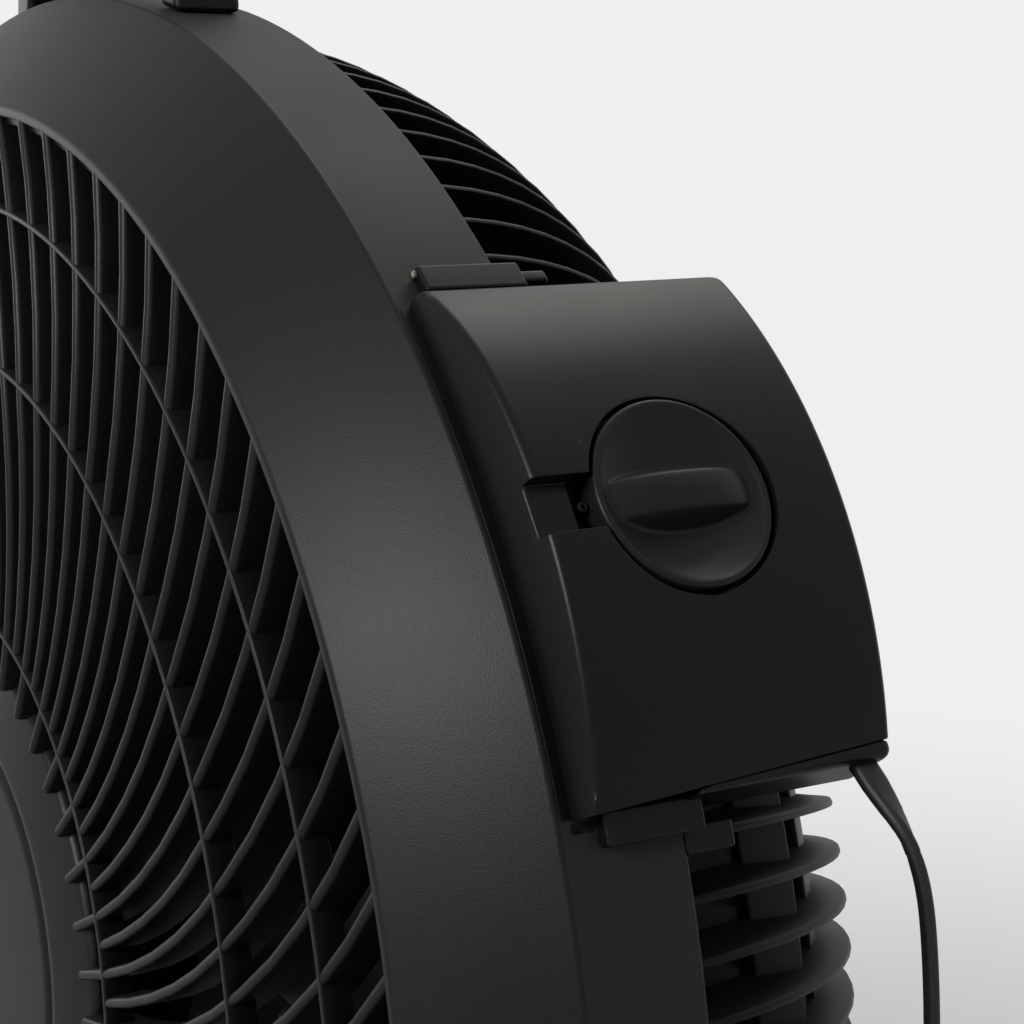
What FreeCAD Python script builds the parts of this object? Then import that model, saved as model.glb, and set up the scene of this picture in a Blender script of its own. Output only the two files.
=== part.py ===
"""Floor fan with a louvred drum head that tilts between two legs.

Millimetres, +Z up. The origin lies on the floor under the tilt axis, X to the right and the
front towards -Y. Head pieces are drawn in a frame of their own: x right, y up, z to the front,
with the plane of the outer rim at z = 0 and the fan axis on z.
"""
import FreeCAD
import Part
import Sketcher
import math
import os
import re
from FreeCAD import Vector

SIZES = {
    # Drum and bezel
    "axis_height": 325, "rim_radius": 280, "wall_depth": 32, "wall_thick": 2.6, "flange_inner": 260,
    "bezel_inner": 246, "bezel_rise": 30, "bezel_thick": 2.6, "rim_land": 2.4, "lip_depth": 9,
    "spigot_depth": 7, "fit_gap": 0.15, "run_gap": 0.3, "cut_past": 1,
    # Front grille
    "vane_count": 84, "vane_thick": 2.3, "vane_depth": 12, "sweep_radius": 183.3, "sweep_centre": 194.5,
    "sweep_phase": 86.69, "ring_thick": 2.3, "outer_ring_radius": 220.4, "middle_ring_radius": 177.5,
    "inner_ring_radius": 103.6, "outer_ring_rise": 33.3, "middle_ring_rise": 37.8,
    "inner_ring_rise": 40.3, "hub_radius": 89.6, "hub_rise": 42, "hub_floor": 3, "badge_radius": 68.6,
    "badge_seat": 2.6, "badge_crown": 1.2, "badge_edge": 3, "hub_land": 2,
    # Rear grille
    "rib_count": 120, "rib_thick": 2.2, "rib_depth": 8, "rear_radius": 271.6, "shoulder_radius": 100.8,
    "rear_flange": 3, "band_radius": 168, "band_width": 5, "plate_radius": 66, "plate_bore": 12,
    "hoop_radius": 261.5, "hoop_thick": 4, "hoop_width": 12, "hoop_back": 25,
    # Motor and rotor
    "stack_half": 47, "stack_corner": 14, "stack_depth": 26, "bell_radius": 46, "bell_depth": 24,
    "bell_wall": 2.5, "bell_round": 5, "winding_length": 12, "winding_radius": 41, "rotor_radius": 24,
    "air_gap": 0.4, "shaft_radius": 4, "shaft_gap": 0.03, "bearing_radius": 8, "bearing_length": 9,
    "shaft_front": 2, "core_inset": 1, "shaft_inset": 2, "motor_screw_radius": 2,
    "motor_screw_circle": 30, "screw_head_radius": 4, "screw_head_height": 2.4, "capacitor_width": 36,
    "capacitor_height": 16,
    # Fan blade
    "blade_count": 5, "blade_radius": 236, "blade_thick": 2.4, "blade_middle": -27,
    "blade_hub_radius": 48, "root_chord": 50, "root_pitch": 36, "middle_chord": 106, "middle_pitch": 29,
    "tip_chord": 128, "tip_pitch": 21, "tip_sweep": 22, "blade_camber": 0.08, "blade_hub_chamfer": 6,
    "blade_hub_front": -6, "blade_hub_depth": 40, "blade_hub_wall": 2.6, "boss_radius": 9,
    "boss_length": 24, "nut_radius": 8, "nut_height": 7,
    # Control box
    "box_angle": 32.9, "box_half_span": 12.85, "box_front": 3, "box_rear": 86, "box_end_radius": 290,
    "box_crown": 298.6, "box_seam": 282.6, "box_floor_radius": 273, "box_wall": 2.4,
    "tray_end_angle": 1, "cover_hollow_half": 44, "cover_hollow_top": 287, "notch_half": 6.5,
    "notch_depth": 4.5, "knob_back": 42, "knob_radius": 23.3, "knob_recess_gap": 1.1,
    "knob_recess_depth": 9, "knob_lift": 0.6, "knob_height": 11.1, "knob_rim": 3, "knob_dish": 1.6,
    "knob_edge": 1, "knob_slope": 1.5, "grip_root": 1, "grip_half_width": 4.6, "grip_proud": 0.7,
    "spindle_radius": 3, "spindle_depth": 7, "switch_half": 7.2, "switch_top": 286.7,
    "switch_depth": 10, "clip_width": 8, "clip_height": 4.2, "clip_front": 6, "clip_length": 29,
    "upper_clip_gap": 2, "lower_clip_gap": 0.15,
    # Carry handle
    "handle_half": 62, "handle_reach": 36, "handle_deep": 20, "handle_bar": 11, "handle_foot": 12,
    "handle_lean": 4, "handle_chamfer": 8.5, "handle_inner_chamfer": 6,
    # Stand
    "leg_inner": 288, "leg_thick": 14, "leg_head": 30, "leg_waist": 24, "leg_knee_height": 110,
    "foot_half": 150, "foot_height": 20, "foot_shoulder": 62, "foot_shoulder_height": 46,
    "pad_height": 5, "pad_length": 26, "pad_inset": 4, "pad_side": 1, "bar_radius": 9.5,
    "bar_wall": 1.5, "bar_reach": 112, "bar_height": 22, "bar_screw_radius": 2.5,
    "pivot_boss_radius": 15, "washer_thick": 1.7, "washer_inset": 2, "bolt_radius": 4,
    "bolt_head_radius": 13, "bolt_head_height": 7, "bolt_depth": 6,
    # Mains cord
    "cord_width": 5.8, "cord_thick": 3.4, "coil_radius": 33, "coil_loops": 3.25, "coil_pitch": 6.5,
    "coil_rise": 4, "coil_dip": 0.5, "coil_x": 150, "coil_y": 36, "coil_tail": 34, "coil_lead_in": 26,
    "tie_width": 12, "tie_thick": 1, "tie_room": 0.5, "tie_slack": 1, "floor_clear": 0.2,
    "mouth_gap": 0.45, "gland_back": 79.5, "gland_half": 3.85, "gland_height": 5.7,
    "gland_top": 282.4, "gland_face": 65, "gland_length": 20, "lead_angle": 34.5, "lead_back": 75,
    "lead_width": 5, "lead_thick": 3, "plug_length": 30, "plug_width": 24, "plug_neck": 10,
    "plug_height": 13, "pin_length": 17, "pin_width": 6.3, "pin_thick": 1.5, "pin_spacing": 12.7,
}

doc = FreeCAD.newDocument("floor_fan")
sheet = doc.addObject("Spreadsheet::Sheet", "Sizes")
for row, (alias, number) in enumerate(SIZES.items(), start=1):
    sheet.set(f"A{row}", alias)
    sheet.set(f"B{row}", str(number))
    sheet.setAlias(f"B{row}", alias)
doc.recompute()

parts = []

HEAD = "placement(vector(0; -wall_depth / 2; axis_height); rotation(vector(1; 0; 0); 90))"
BOX = HEAD + " * placement(vector(0; 0; 0); rotation(vector(0; 0; 1); box_angle))"
RECESS_FLOOR = "(box_crown - knob_recess_depth)"
KNOB = BOX + f" * placement(vector({RECESS_FLOOR}; 0; -knob_back); rotation(vector(1; 1; 1); 120))"
PART = "placement(vector(0; 0; 0); rotation(vector(0; 0; 1); 0))"
BACK = "(wall_depth + shoulder_radius)"
STACK_FRONT = f"(bell_depth + stack_depth + rib_depth - {BACK})"


def bind(expression):
    """Point every size name in an expression at its cell of the sheet."""
    return re.sub(r"[a-z_]+", lambda m: "Sizes." + m[0] if m[0] in SIZES else m[0], str(expression))


def size(expression):
    """The number that an expression of sizes gives."""
    return float(sheet.evalExpression(bind(expression)))


def keep(made, name, frame=HEAD):
    """Name a sub-part, place it and add it to the ones that are written."""
    made.Label = name
    made.setExpression("Placement", bind(frame))
    parts.append(made)
    return made


def new_body(name, frame=None):
    made = doc.addObject("PartDesign::Body", name)
    return keep(made, name, frame) if frame else made


def arc_between(start, end, radius, side):
    """A counter-clockwise arc on a chord, and whether it runs backwards along it."""
    chord = end - start
    left = Vector(-chord.y, chord.x, 0).normalize()
    depth = math.sqrt(radius ** 2 - (chord.Length / 2) ** 2)
    centre = (start + end) * 0.5 - left * (side * depth)
    first, last = (end, start) if side > 0 else (start, end)
    turn = [math.atan2(p.y - centre.y, p.x - centre.x) for p in (first, last)]
    return Part.ArcOfCircle(Part.Circle(centre, Vector(0, 0, 1), radius), *turn), side > 0


def draw_loop(sketch, points):
    """A closed outline, each point (x, y), or (x, y, radius, side) where an arc leads on from it."""
    spots = [Vector(size(p[0]), size(p[1]), 0) for p in points]
    ends = []
    for here, point in enumerate(points):
        start, end = spots[here], spots[(here + 1) % len(spots)]
        if len(point) == 2:
            edge = sketch.addGeometry(Part.LineSegment(start, end), False)
            ends.append((edge, 1, 2))
            continue
        arc, backwards = arc_between(start, end, size(point[2]), point[3])
        edge = sketch.addGeometry(arc, False)
        ends.append((edge, 2, 1) if backwards else (edge, 1, 2))
    for here, point in enumerate(points):
        edge, first, last = ends[here]
        following = ends[(here + 1) % len(ends)]
        sketch.addConstraint(Sketcher.Constraint("Coincident", edge, last, following[0], following[1]))
        tie(sketch, Sketcher.Constraint("DistanceX", -1, 1, edge, first, spots[here].x), point[0])
        tie(sketch, Sketcher.Constraint("DistanceY", -1, 1, edge, first, spots[here].y), point[1])
        if len(point) > 2:
            tie(sketch, Sketcher.Constraint("Radius", edge, size(point[2])), point[2])


def draw_circle(sketch, x, y, radius):
    circle = Part.Circle(Vector(size(x), size(y), 0), Vector(0, 0, 1), size(radius))
    edge = sketch.addGeometry(circle, False)
    tie(sketch, Sketcher.Constraint("DistanceX", -1, 1, edge, 3, size(x)), x)
    tie(sketch, Sketcher.Constraint("DistanceY", -1, 1, edge, 3, size(y)), y)
    tie(sketch, Sketcher.Constraint("Radius", edge, size(radius)), radius)


def tie(sketch, constraint, expression):
    index = sketch.addConstraint(constraint)
    sketch.setExpression(f"Constraints[{index}]", bind(expression))


def new_sketch(body, role, loops=(), circles=(), lift="0"):
    """A sketch on one of the body's own planes, lifted along the plane's normal."""
    sketch = body.newObject("Sketcher::SketchObject", body.Name + "_sketch")
    plane = next(p for p in body.Origin.OriginFeatures if p.Role == role)
    sketch.AttachmentSupport = [(plane, "")]
    sketch.MapMode = "FlatFace"
    sketch.setExpression("AttachmentOffset.Base.z", bind(lift))
    for points in loops:
        draw_loop(sketch, points)
    for x, y, radius in circles:
        draw_circle(sketch, x, y, radius)
    return sketch


def feature(body, kind, sketch, **sizes):
    made = body.newObject("PartDesign::" + kind, body.Name + "_" + kind.lower())
    made.Profile = sketch
    sketch.Visibility = False
    for name, expression in sizes.items():
        made.setExpression(name, bind(expression))
    return made


def pad(body, sketch, length, middle=False, backwards=False):
    made = feature(body, "Pad", sketch, Length=length)
    made.SideType = "Symmetric" if middle else "One side"
    made.Reversed = backwards
    return made


def pocket(body, sketch, length, backwards=False):
    made = feature(body, "Pocket", sketch, Length=length)
    made.Reversed = backwards
    return made


def turn(body, points, kind="Revolution", angle="360"):
    """Turn an outline of (radius, z) points about z; part of a turn lies evenly about x."""
    sketch = new_sketch(body, "XZ_Plane", [points])
    made = feature(body, kind, sketch, Angle=angle)
    made.ReferenceAxis = (sketch, ["V_Axis"])
    made.Midplane = angle != "360"
    return made


def polar(radius, degrees):
    return Vector(radius * math.cos(math.radians(degrees)), radius * math.sin(math.radians(degrees)), 0)


def plain_feature(name, shape):
    made = doc.addObject("Part::Feature", name)
    made.Shape = shape
    return made


def extruded(name, base, top, bottom="0"):
    """A flat face drawn out along z from one height to another."""
    made = doc.addObject("Part::Extrusion", name)
    made.Base = base
    made.DirMode = "Custom"
    made.Dir = Vector(0, 0, 1)
    made.setExpression("LengthFwd", bind(top))
    made.setExpression("LengthRev", bind(f"-({bottom})"))
    return made


def drum():
    """Side wall with its rear flange, and the conical bezel whose spigot fits inside the wall."""
    inside = "rim_radius - wall_thick"
    turn(new_body("drum_shroud", HEAD), [
        (inside, "0"), ("rim_radius", "0"), ("rim_radius", "-wall_depth"), ("flange_inner", "-wall_depth"),
        ("flange_inner", "wall_thick - wall_depth"), (inside, "wall_thick - wall_depth")])
    lip = "bezel_inner + bezel_thick"
    slope = f"((bezel_rise - rim_land) / (rim_radius - ({lip})))"
    drop = f"(bezel_thick * sqrt(1 + {slope}^2))"
    spigot = "rim_radius - wall_thick - fit_gap"
    hollow = f"({spigot} - bezel_thick)"
    turn(new_body("front_bezel", HEAD), [
        ("rim_radius", "0"), ("rim_radius", "rim_land"), (lip, "bezel_rise"), ("bezel_inner", "bezel_rise"),
        ("bezel_inner", "bezel_rise - lip_depth"), (lip, "bezel_rise - lip_depth"),
        (lip, f"bezel_rise - {drop}"), (hollow, f"rim_land + (rim_radius - {hollow}) * {slope} - {drop}"),
        (hollow, "-spigot_depth"), (spigot, "-spigot_depth"), (spigot, "0")])


def vane_angle(radius, side):
    """Angle of one side of a vane at a radius: its sides are arcs about one centre off the axis."""
    reach = size("sweep_centre")
    bow = size("sweep_radius") + side * size("vane_thick") / 2
    return math.degrees(math.acos((radius ** 2 + reach ** 2 - bow ** 2) / (2 * radius * reach)))


def vane_gap(inner, outer, first, step, steps):
    """Outline of the opening between two neighbouring vanes and two rings."""
    rise = (outer - inner) / steps
    radii = [inner + rise * i for i in range(steps + 1)]
    low = [polar(r, first - vane_angle(r, -1)) for r in radii]
    high = [polar(r, first + step - vane_angle(r, 1)) for r in radii]
    return Part.makePolygon(low + high[::-1] + low[:1])


def front_grille():
    """Domed louvre grille: a plate of vane-shaped openings cut to the thickness of a dome."""
    half = size("ring_thick / 2")
    rings = [size(f"{name}_ring_radius") for name in ("inner", "middle", "outer")]
    rim = size("bezel_inner - fit_gap")
    step = 360 / size("vane_count")
    zones = [(size("hub_radius"), rings[0] - half, 2, 1), (rings[0] + half, rings[1] - half, 1, 2),
             (rings[1] + half, rings[2] - half, 1, 1), (rings[2] + half, rim - 2 * half, 1, 1)]
    gaps = []
    for inner, outer, vanes, steps in zones:
        for index in range(int(size("vane_count")) // vanes):
            start = size("sweep_phase") + step * vanes * index
            gaps.append(vane_gap(inner, outer, start, step * vanes, steps))
    plate = Part.Face(Part.Wire(Part.makeCircle(rim)))
    openwork = Part.Face([plate.OuterWire] + gaps, "Part::FaceMakerBullseye")
    pattern = plain_feature("grille_pattern", openwork)
    dome = new_body("grille_dome")
    seat = "badge_radius + fit_gap"
    turn(dome, [
        ("bezel_inner - fit_gap", "bezel_rise"), ("outer_ring_radius", "outer_ring_rise"),
        ("middle_ring_radius", "middle_ring_rise"), ("inner_ring_radius", "inner_ring_rise"),
        (f"{seat} + hub_land", "hub_rise"), (seat, "hub_rise"), (seat, "hub_rise - badge_seat"),
        ("0", "hub_rise - badge_seat"), ("0", "hub_rise - badge_seat - hub_floor"),
        ("hub_radius - ring_thick", "hub_rise - badge_seat - hub_floor"),
        ("hub_radius - ring_thick", "inner_ring_rise - vane_depth"),
        ("inner_ring_radius", "inner_ring_rise - vane_depth"),
        ("middle_ring_radius", "middle_ring_rise - vane_depth"),
        ("outer_ring_radius", "outer_ring_rise - vane_depth"),
        ("bezel_inner - fit_gap", "bezel_rise - vane_depth")])
    louvres = doc.addObject("Part::Common", "front_grille")
    louvres.Base = dome
    louvres.Tool = extruded("grille_prism", pattern, "hub_rise + vane_depth")
    keep(louvres, "front_grille")
    turn(new_body("hub_badge", HEAD), [
        ("0", "hub_rise - badge_seat"), ("badge_radius", "hub_rise - badge_seat"),
        ("badge_radius", "hub_rise - badge_crown"),
        ("badge_radius - badge_edge", "hub_rise + badge_crown / 2"),
        ("0", "hub_rise + badge_crown")])


def rib_gap(inner, outer, first, step):
    """Outline of the opening between two neighbouring straight ribs."""
    half = size("rib_thick / 2")
    lean = [math.degrees(math.asin(half / r)) for r in (inner, outer)]
    corners = [polar(inner, first + lean[0]), polar(outer, first + lean[1]),
               polar(outer, first + step - lean[1]), polar(inner, first + step - lean[0])]
    return Part.Face(Part.makePolygon(corners + corners[:1]))


def rear_grille():
    """Basket of ribs: a turned shell with a rounded shoulder, slotted all round, and a hoop inside."""
    shell = new_body("rear_shell")
    outer, inner = [], []
    for angle in (0, 22.5, 45, 67.5, 90):
        radius = f"rear_radius - shoulder_radius * (1 - cos({angle}))"
        depth = f"-wall_depth - shoulder_radius * sin({angle})"
        outer.append((radius, depth))
        inner.append((f"{radius} - rib_depth * cos({angle})", f"{depth} + rib_depth * sin({angle})"))
    turn(shell, outer + [("plate_bore", f"-{BACK}"), ("plate_bore", f"rib_depth - {BACK}")] + inner[::-1])
    count = int(size("rib_count"))
    step = 360 / count
    gaps = [rib_gap(size("band_radius + band_width / 2"), size("rim_radius"), step * i, step)
            for i in range(count)]
    gaps += [rib_gap(size("plate_radius"), size("band_radius - band_width / 2"), step * i, 2 * step)
             for i in range(0, count, 2)]
    for index in range(4):
        hole = Part.Circle(polar(size("motor_screw_circle"), 45 + 90 * index), Vector(0, 0, 1),
                           size("motor_screw_radius + fit_gap"))
        gaps.append(Part.Face(Part.Wire(hole.toShape())))
    cells = plain_feature("rear_cells", Part.makeCompound(gaps))
    slotted = doc.addObject("Part::Cut", "rear_ribs")
    slotted.Base = shell
    slotted.Tool = extruded("rear_slots", cells, "-wall_depth - rear_flange", f"-{BACK} - cut_past")
    hoop = new_body("rear_hoop")
    front = "-wall_depth - hoop_back"
    behind = f"{front} - hoop_width"
    inside = "hoop_radius - hoop_thick"
    turn(hoop, [(inside, front), ("hoop_radius", front), ("hoop_radius", behind), (inside, behind)])
    basket = doc.addObject("Part::Fuse", "rear_grille")
    basket.Base = slotted
    basket.Tool = hoop
    keep(basket, "rear_grille")


def motor_bell(name, frame):
    """Cup that closes one end of the motor and carries its bearing."""
    seat = "bearing_radius + shaft_gap"
    turn(new_body(name, frame), [
        ("bell_radius - bell_wall", "0"), ("bell_radius", "0"), ("bell_radius", "bell_depth - bell_round"),
        ("bell_radius - bell_round", "bell_depth"), (seat, "bell_depth"),
        (seat, "bell_depth - bearing_length"), (f"{seat} + bell_wall", "bell_depth - bearing_length"),
        (f"{seat} + bell_wall", "bell_depth - bell_wall"),
        ("bell_radius - bell_round - bell_wall / 2", "bell_depth - bell_wall"),
        ("bell_radius - bell_wall", "bell_depth - bell_round - bell_wall / 2")])


def motor():
    """Induction motor on the rear plate: laminated stack between two bells, windings and bearings."""
    front = HEAD + f" * placement(vector(0; 0; {STACK_FRONT}); rotation(vector(1; 0; 0); 0))"
    rear = HEAD + f" * placement(vector(0; 0; {STACK_FRONT} - stack_depth); rotation(vector(1; 0; 0); 180))"
    motor_bell("motor_front_bell", front)
    motor_bell("motor_rear_bell", rear)
    stack = new_body("stator_stack", front)
    cut = "stack_half - stack_corner"
    corners = []
    for x, y, order in ((1, 1, 1), (-1, 1, -1), (-1, -1, 1), (1, -1, -1)):
        pair = [(f"{x} * stack_half", f"{y} * ({cut})"), (f"{x} * ({cut})", f"{y} * stack_half")]
        corners += pair[::order]
    outline = new_sketch(stack, "XY_Plane", [corners], [("0", "0", "rotor_radius + air_gap")])
    pad(stack, outline, "stack_depth", backwards=True)
    for name, frame in (("front_winding", front), ("rear_winding", rear)):
        turn(new_body(name, frame), [
            ("rotor_radius + bell_wall", "0"), ("winding_radius", "0"),
            ("winding_radius", "winding_length"), ("rotor_radius + bell_wall", "winding_length")])
    for name, frame in (("front_bearing", front), ("rear_bearing", rear)):
        turn(new_body(name, frame), [
            ("shaft_radius + shaft_gap", "bell_depth - bearing_length"),
            ("bearing_radius", "bell_depth - bearing_length"), ("bearing_radius", "bell_depth"),
            ("shaft_radius + shaft_gap", "bell_depth")])
    capacitor = new_body("run_capacitor", front)
    wide = "capacitor_width / 2"
    pad(capacitor, new_sketch(capacitor, "XY_Plane", [[
        (f"-{wide}", "stack_half"), (wide, "stack_half"), (wide, "stack_half + capacitor_height"),
        (f"-{wide}", "stack_half + capacitor_height")]]), "stack_depth", backwards=True)
    screws = new_body("motor_screws", HEAD)
    plate_screw(screws)


def plate_screw(screws):
    """Four screws from behind through the rear plate to the motor's bell."""
    spots = [(f"motor_screw_circle * cos({45 + 90 * i})", f"motor_screw_circle * sin({45 + 90 * i})")
             for i in range(4)]
    shanks = [(x, y, "motor_screw_radius") for x, y in spots]
    heads = [(x, y, "screw_head_radius") for x, y in spots]
    pad(screws, new_sketch(screws, "XY_Plane", circles=shanks, lift=f"-{BACK}"), "rib_depth")
    pad(screws, new_sketch(screws, "XY_Plane", circles=heads, lift=f"-{BACK}"), "screw_head_height",
        backwards=True)


def blade_section(radius, chord, pitch, sweep):
    """Cambered section of a blade, square to the radius: two arcs and two short ends."""
    along = Vector(0, math.cos(math.radians(pitch)), math.sin(math.radians(pitch)))
    across = Vector(0, -along.z, along.y)
    middle = Vector(radius, sweep, size("blade_middle"))
    thick = size("blade_thick")
    bow = chord * size("blade_camber")
    corner = [middle + along * (s * chord / 2) + across * (t * thick / 2) for s, t in
              ((-1, -1), (1, -1), (1, 1), (-1, 1))]
    under = Part.Arc(corner[0], middle + across * (bow - thick / 2), corner[1]).toShape()
    over = Part.Arc(corner[2], middle + across * (bow + thick / 2), corner[3]).toShape()
    ends = [Part.makeLine(corner[1], corner[2]), Part.makeLine(corner[3], corner[0])]
    return Part.Wire([under, ends[0], over, ends[1]])


def rotor():
    """Shaft with the rotor core, the moulded blade on it, and the nut that holds the blade."""
    core_front = f"({STACK_FRONT} - core_inset)"
    core_rear = f"({STACK_FRONT} - stack_depth + core_inset)"
    rear_end = f"({STACK_FRONT} - stack_depth - bell_depth + shaft_inset)"
    turn(new_body("rotor_shaft", HEAD), [
        ("0", rear_end), ("shaft_radius", rear_end), ("shaft_radius", core_rear),
        ("rotor_radius", core_rear),
        ("rotor_radius", core_front), ("shaft_radius", core_front), ("shaft_radius", "shaft_front"),
        ("0", "shaft_front")])
    hub = new_body("blade_hub")
    bore = "shaft_radius + shaft_gap"
    behind = "(blade_hub_front - blade_hub_depth)"
    inside = "(blade_hub_radius - blade_hub_wall)"
    turn(hub, [
        (bore, "blade_hub_front"), ("blade_hub_radius - blade_hub_chamfer", "blade_hub_front"),
        ("blade_hub_radius", "blade_hub_front - blade_hub_chamfer"), ("blade_hub_radius", behind),
        (inside, behind),
        (inside, "blade_hub_front - blade_hub_chamfer - blade_hub_wall / 2"),
        ("blade_hub_radius - blade_hub_chamfer - blade_hub_wall / 2", "blade_hub_front - blade_hub_wall"),
        ("boss_radius", "blade_hub_front - blade_hub_wall"),
        ("boss_radius", "blade_hub_front - boss_length"),
        (bore, "blade_hub_front - boss_length")])
    root = size("sqrt((blade_hub_radius - blade_hub_wall / 2)^2 - (root_chord * cos(root_pitch) / 2)^2)")
    tip = size("blade_radius")
    stations = [("root", root, 0), ("middle", (root + tip) / 2, size("tip_sweep / 4")),
                ("tip", tip, size("tip_sweep"))]
    sections = [blade_section(radius, size(f"{name}_chord"), size(f"{name}_pitch"), sweep)
                for name, radius, sweep in stations]
    wing = Part.makeLoft(sections, True, True)
    wings = []
    for index in range(int(size("blade_count"))):
        turned = wing.copy()
        turned.rotate(Vector(0, 0, 0), Vector(0, 0, 1), 360 / size("blade_count") * index)
        wings.append(plain_feature("blade_wing", turned))
    blade = doc.addObject("Part::MultiFuse", "fan_blade")
    blade.Shapes = [hub] + wings
    blade.Refine = False
    keep(blade, "fan_blade")
    nut = new_body("blade_nut", HEAD)
    flats = [(f"nut_radius * cos({60 * i})", f"nut_radius * sin({60 * i})") for i in range(6)]
    pad(nut, new_sketch(nut, "XY_Plane", [flats], [("0", "0", bore)], lift="blade_hub_front"), "nut_height")


def control_box():
    """Saddle box on the drum: tray, crowned cover with the knob's recess, switch, spindle and knob."""
    span = "2 * box_half_span"
    saddle = "rim_radius + fit_gap"
    tray = new_body("control_base", BOX)
    step = "-wall_depth - fit_gap"
    turn(tray, [
        (saddle, "-box_front"), ("box_seam", "-box_front"), ("box_seam", "-box_rear"),
        ("box_floor_radius", "-box_rear"), ("box_floor_radius", step), (saddle, step)], angle=span)
    hollow = [
        ("box_floor_radius + box_wall", f"{step} - box_wall"),
        ("box_seam + cut_past", f"{step} - box_wall"), ("box_seam + cut_past", "box_wall - box_rear"),
        ("box_floor_radius + box_wall", "box_wall - box_rear")]
    turn(tray, hollow, "Groove", f"{span} - tray_end_angle")
    cover = new_body("control_cover", BOX)
    under = "box_seam + fit_gap"
    end_x, end_y = "box_end_radius * cos(box_half_span)", "box_end_radius * sin(box_half_span)"
    low_x, low_y = f"({under}) * cos(box_half_span)", f"({under}) * sin(box_half_span)"
    rise = f"(box_crown - {end_x})"
    crown = f"(({end_y})^2 + {rise}^2) / (2 * {rise})"
    outline = [
        (low_x, f"-{low_y}"), (end_x, f"-({end_y})", crown, -1), (end_x, end_y), (low_x, low_y, under, 1)]
    pad(cover, new_sketch(cover, "XY_Plane", [outline], lift="-box_front"), "box_rear - box_front",
        backwards=True)
    room = "cover_hollow_half"
    pocket(cover, new_sketch(cover, "YZ_Plane", [[
        (f"-{room}", "box_wall - box_rear"), (room, "box_wall - box_rear"),
        (room, "-box_front - box_wall"), (f"-{room}", "-box_front - box_wall")]],
        lift="cover_hollow_top"), "box_crown - box_floor_radius")
    recess = "knob_radius + knob_recess_gap"
    pocket(cover, new_sketch(cover, "YZ_Plane", circles=[("0", "-knob_back", recess)], lift="box_crown"),
           "knob_recess_depth")
    pocket(cover, new_sketch(cover, "YZ_Plane", [[
        ("-notch_half", "-knob_back"), ("notch_half", "-knob_back"), ("notch_half", "0"),
        ("-notch_half", "0")]], lift="box_crown"), "notch_depth")
    pocket(cover, new_sketch(cover, "YZ_Plane", circles=[("0", "-knob_back", "spindle_radius + run_gap")],
                             lift="box_crown"), "box_crown - box_floor_radius")
    side, floor = "gland_half", "(gland_top - gland_height)"
    notch = [
        (f"{floor} - box_wall", f"-gland_back - {side}"), ("gland_top", f"-gland_back - {side}"),
        ("gland_top", f"-gland_back + {side}"), (f"{floor} - box_wall", f"-gland_back + {side}")]
    pocket(cover, new_sketch(cover, "XZ_Plane", [notch], lift="gland_face + cut_past"),
           "gland_length + cut_past")
    gland = new_body("cord_gland", BOX)
    side = "(gland_half - fit_gap)"
    block = [
        (f"{floor}", f"-gland_back - {side}"), ("gland_top - fit_gap", f"-gland_back - {side}"),
        ("gland_top - fit_gap", f"-gland_back + {side}"), (f"{floor}", f"-gland_back + {side}")]
    pad(gland, new_sketch(gland, "XZ_Plane", [block], lift="gland_face"), "gland_length - fit_gap",
        backwards=True)
    switch = new_body("rotary_switch", BOX)
    half = "switch_half"
    pad(switch, new_sketch(switch, "YZ_Plane", [[
        (f"-{half}", f"-knob_back - {half}"), (half, f"-knob_back - {half}"),
        (half, f"-knob_back + {half}"), (f"-{half}", f"-knob_back + {half}")]],
        [("0", "-knob_back", "spindle_radius + run_gap")],
        lift="switch_top"), "switch_depth", backwards=True)
    speed_knob()
    clip("upper_clip", 1)
    clip("lower_clip", -1)


def speed_knob():
    """Low round knob with a raised rim, a dished face and one lens-shaped grip, on its spindle."""
    knob = new_body("speed_knob", KNOB)
    face = "knob_height - knob_dish"
    bore = "spindle_radius + shaft_gap"
    turn(knob, [
        (bore, "knob_lift"), ("knob_radius", "knob_lift"), ("knob_radius", "knob_height - knob_edge"),
        ("knob_radius - knob_edge", "knob_height"), ("knob_radius - knob_rim", "knob_height"),
        ("knob_radius - knob_rim - knob_slope", face), ("0", face), ("0", "spindle_depth"),
        (bore, "spindle_depth")])
    reach = "(knob_radius - knob_rim)"
    bow = f"({reach}^2 + grip_half_width^2) / (2 * grip_half_width)"
    pad(knob, new_sketch(knob, "XY_Plane", [[
        ("0", f"-{reach}", bow, -1), ("0", reach, bow, -1)]], lift=f"{face} - grip_root"),
        "knob_dish + grip_root + grip_proud")
    stem = new_body("switch_spindle", KNOB)
    pad(stem, new_sketch(stem, "XY_Plane", circles=[("0", "0", "spindle_radius")],
                         lift="spindle_depth - fit_gap"),
        f"spindle_depth + {RECESS_FLOOR} - switch_top + switch_depth", backwards=True)


def clip(name, side):
    """Bar beside one end of the box that locks it to the side wall."""
    shift = f"({name}_gap + clip_width / 2)"
    place = f"{side} * (box_half_span + {shift} / rim_radius * 180 / pi)"
    bar = new_body(name, BOX + f" * placement(vector(0; 0; 0); rotation(vector(0; 0; 1); {place}))")
    foot = "rim_radius + fit_gap"
    turn(bar, [
        (foot, "-clip_front"), (f"{foot} + clip_height", "-clip_front"),
        (f"{foot} + clip_height", "-clip_front - clip_length"), (foot, "-clip_front - clip_length")],
        angle="clip_width / rim_radius * 180 / pi")


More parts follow.
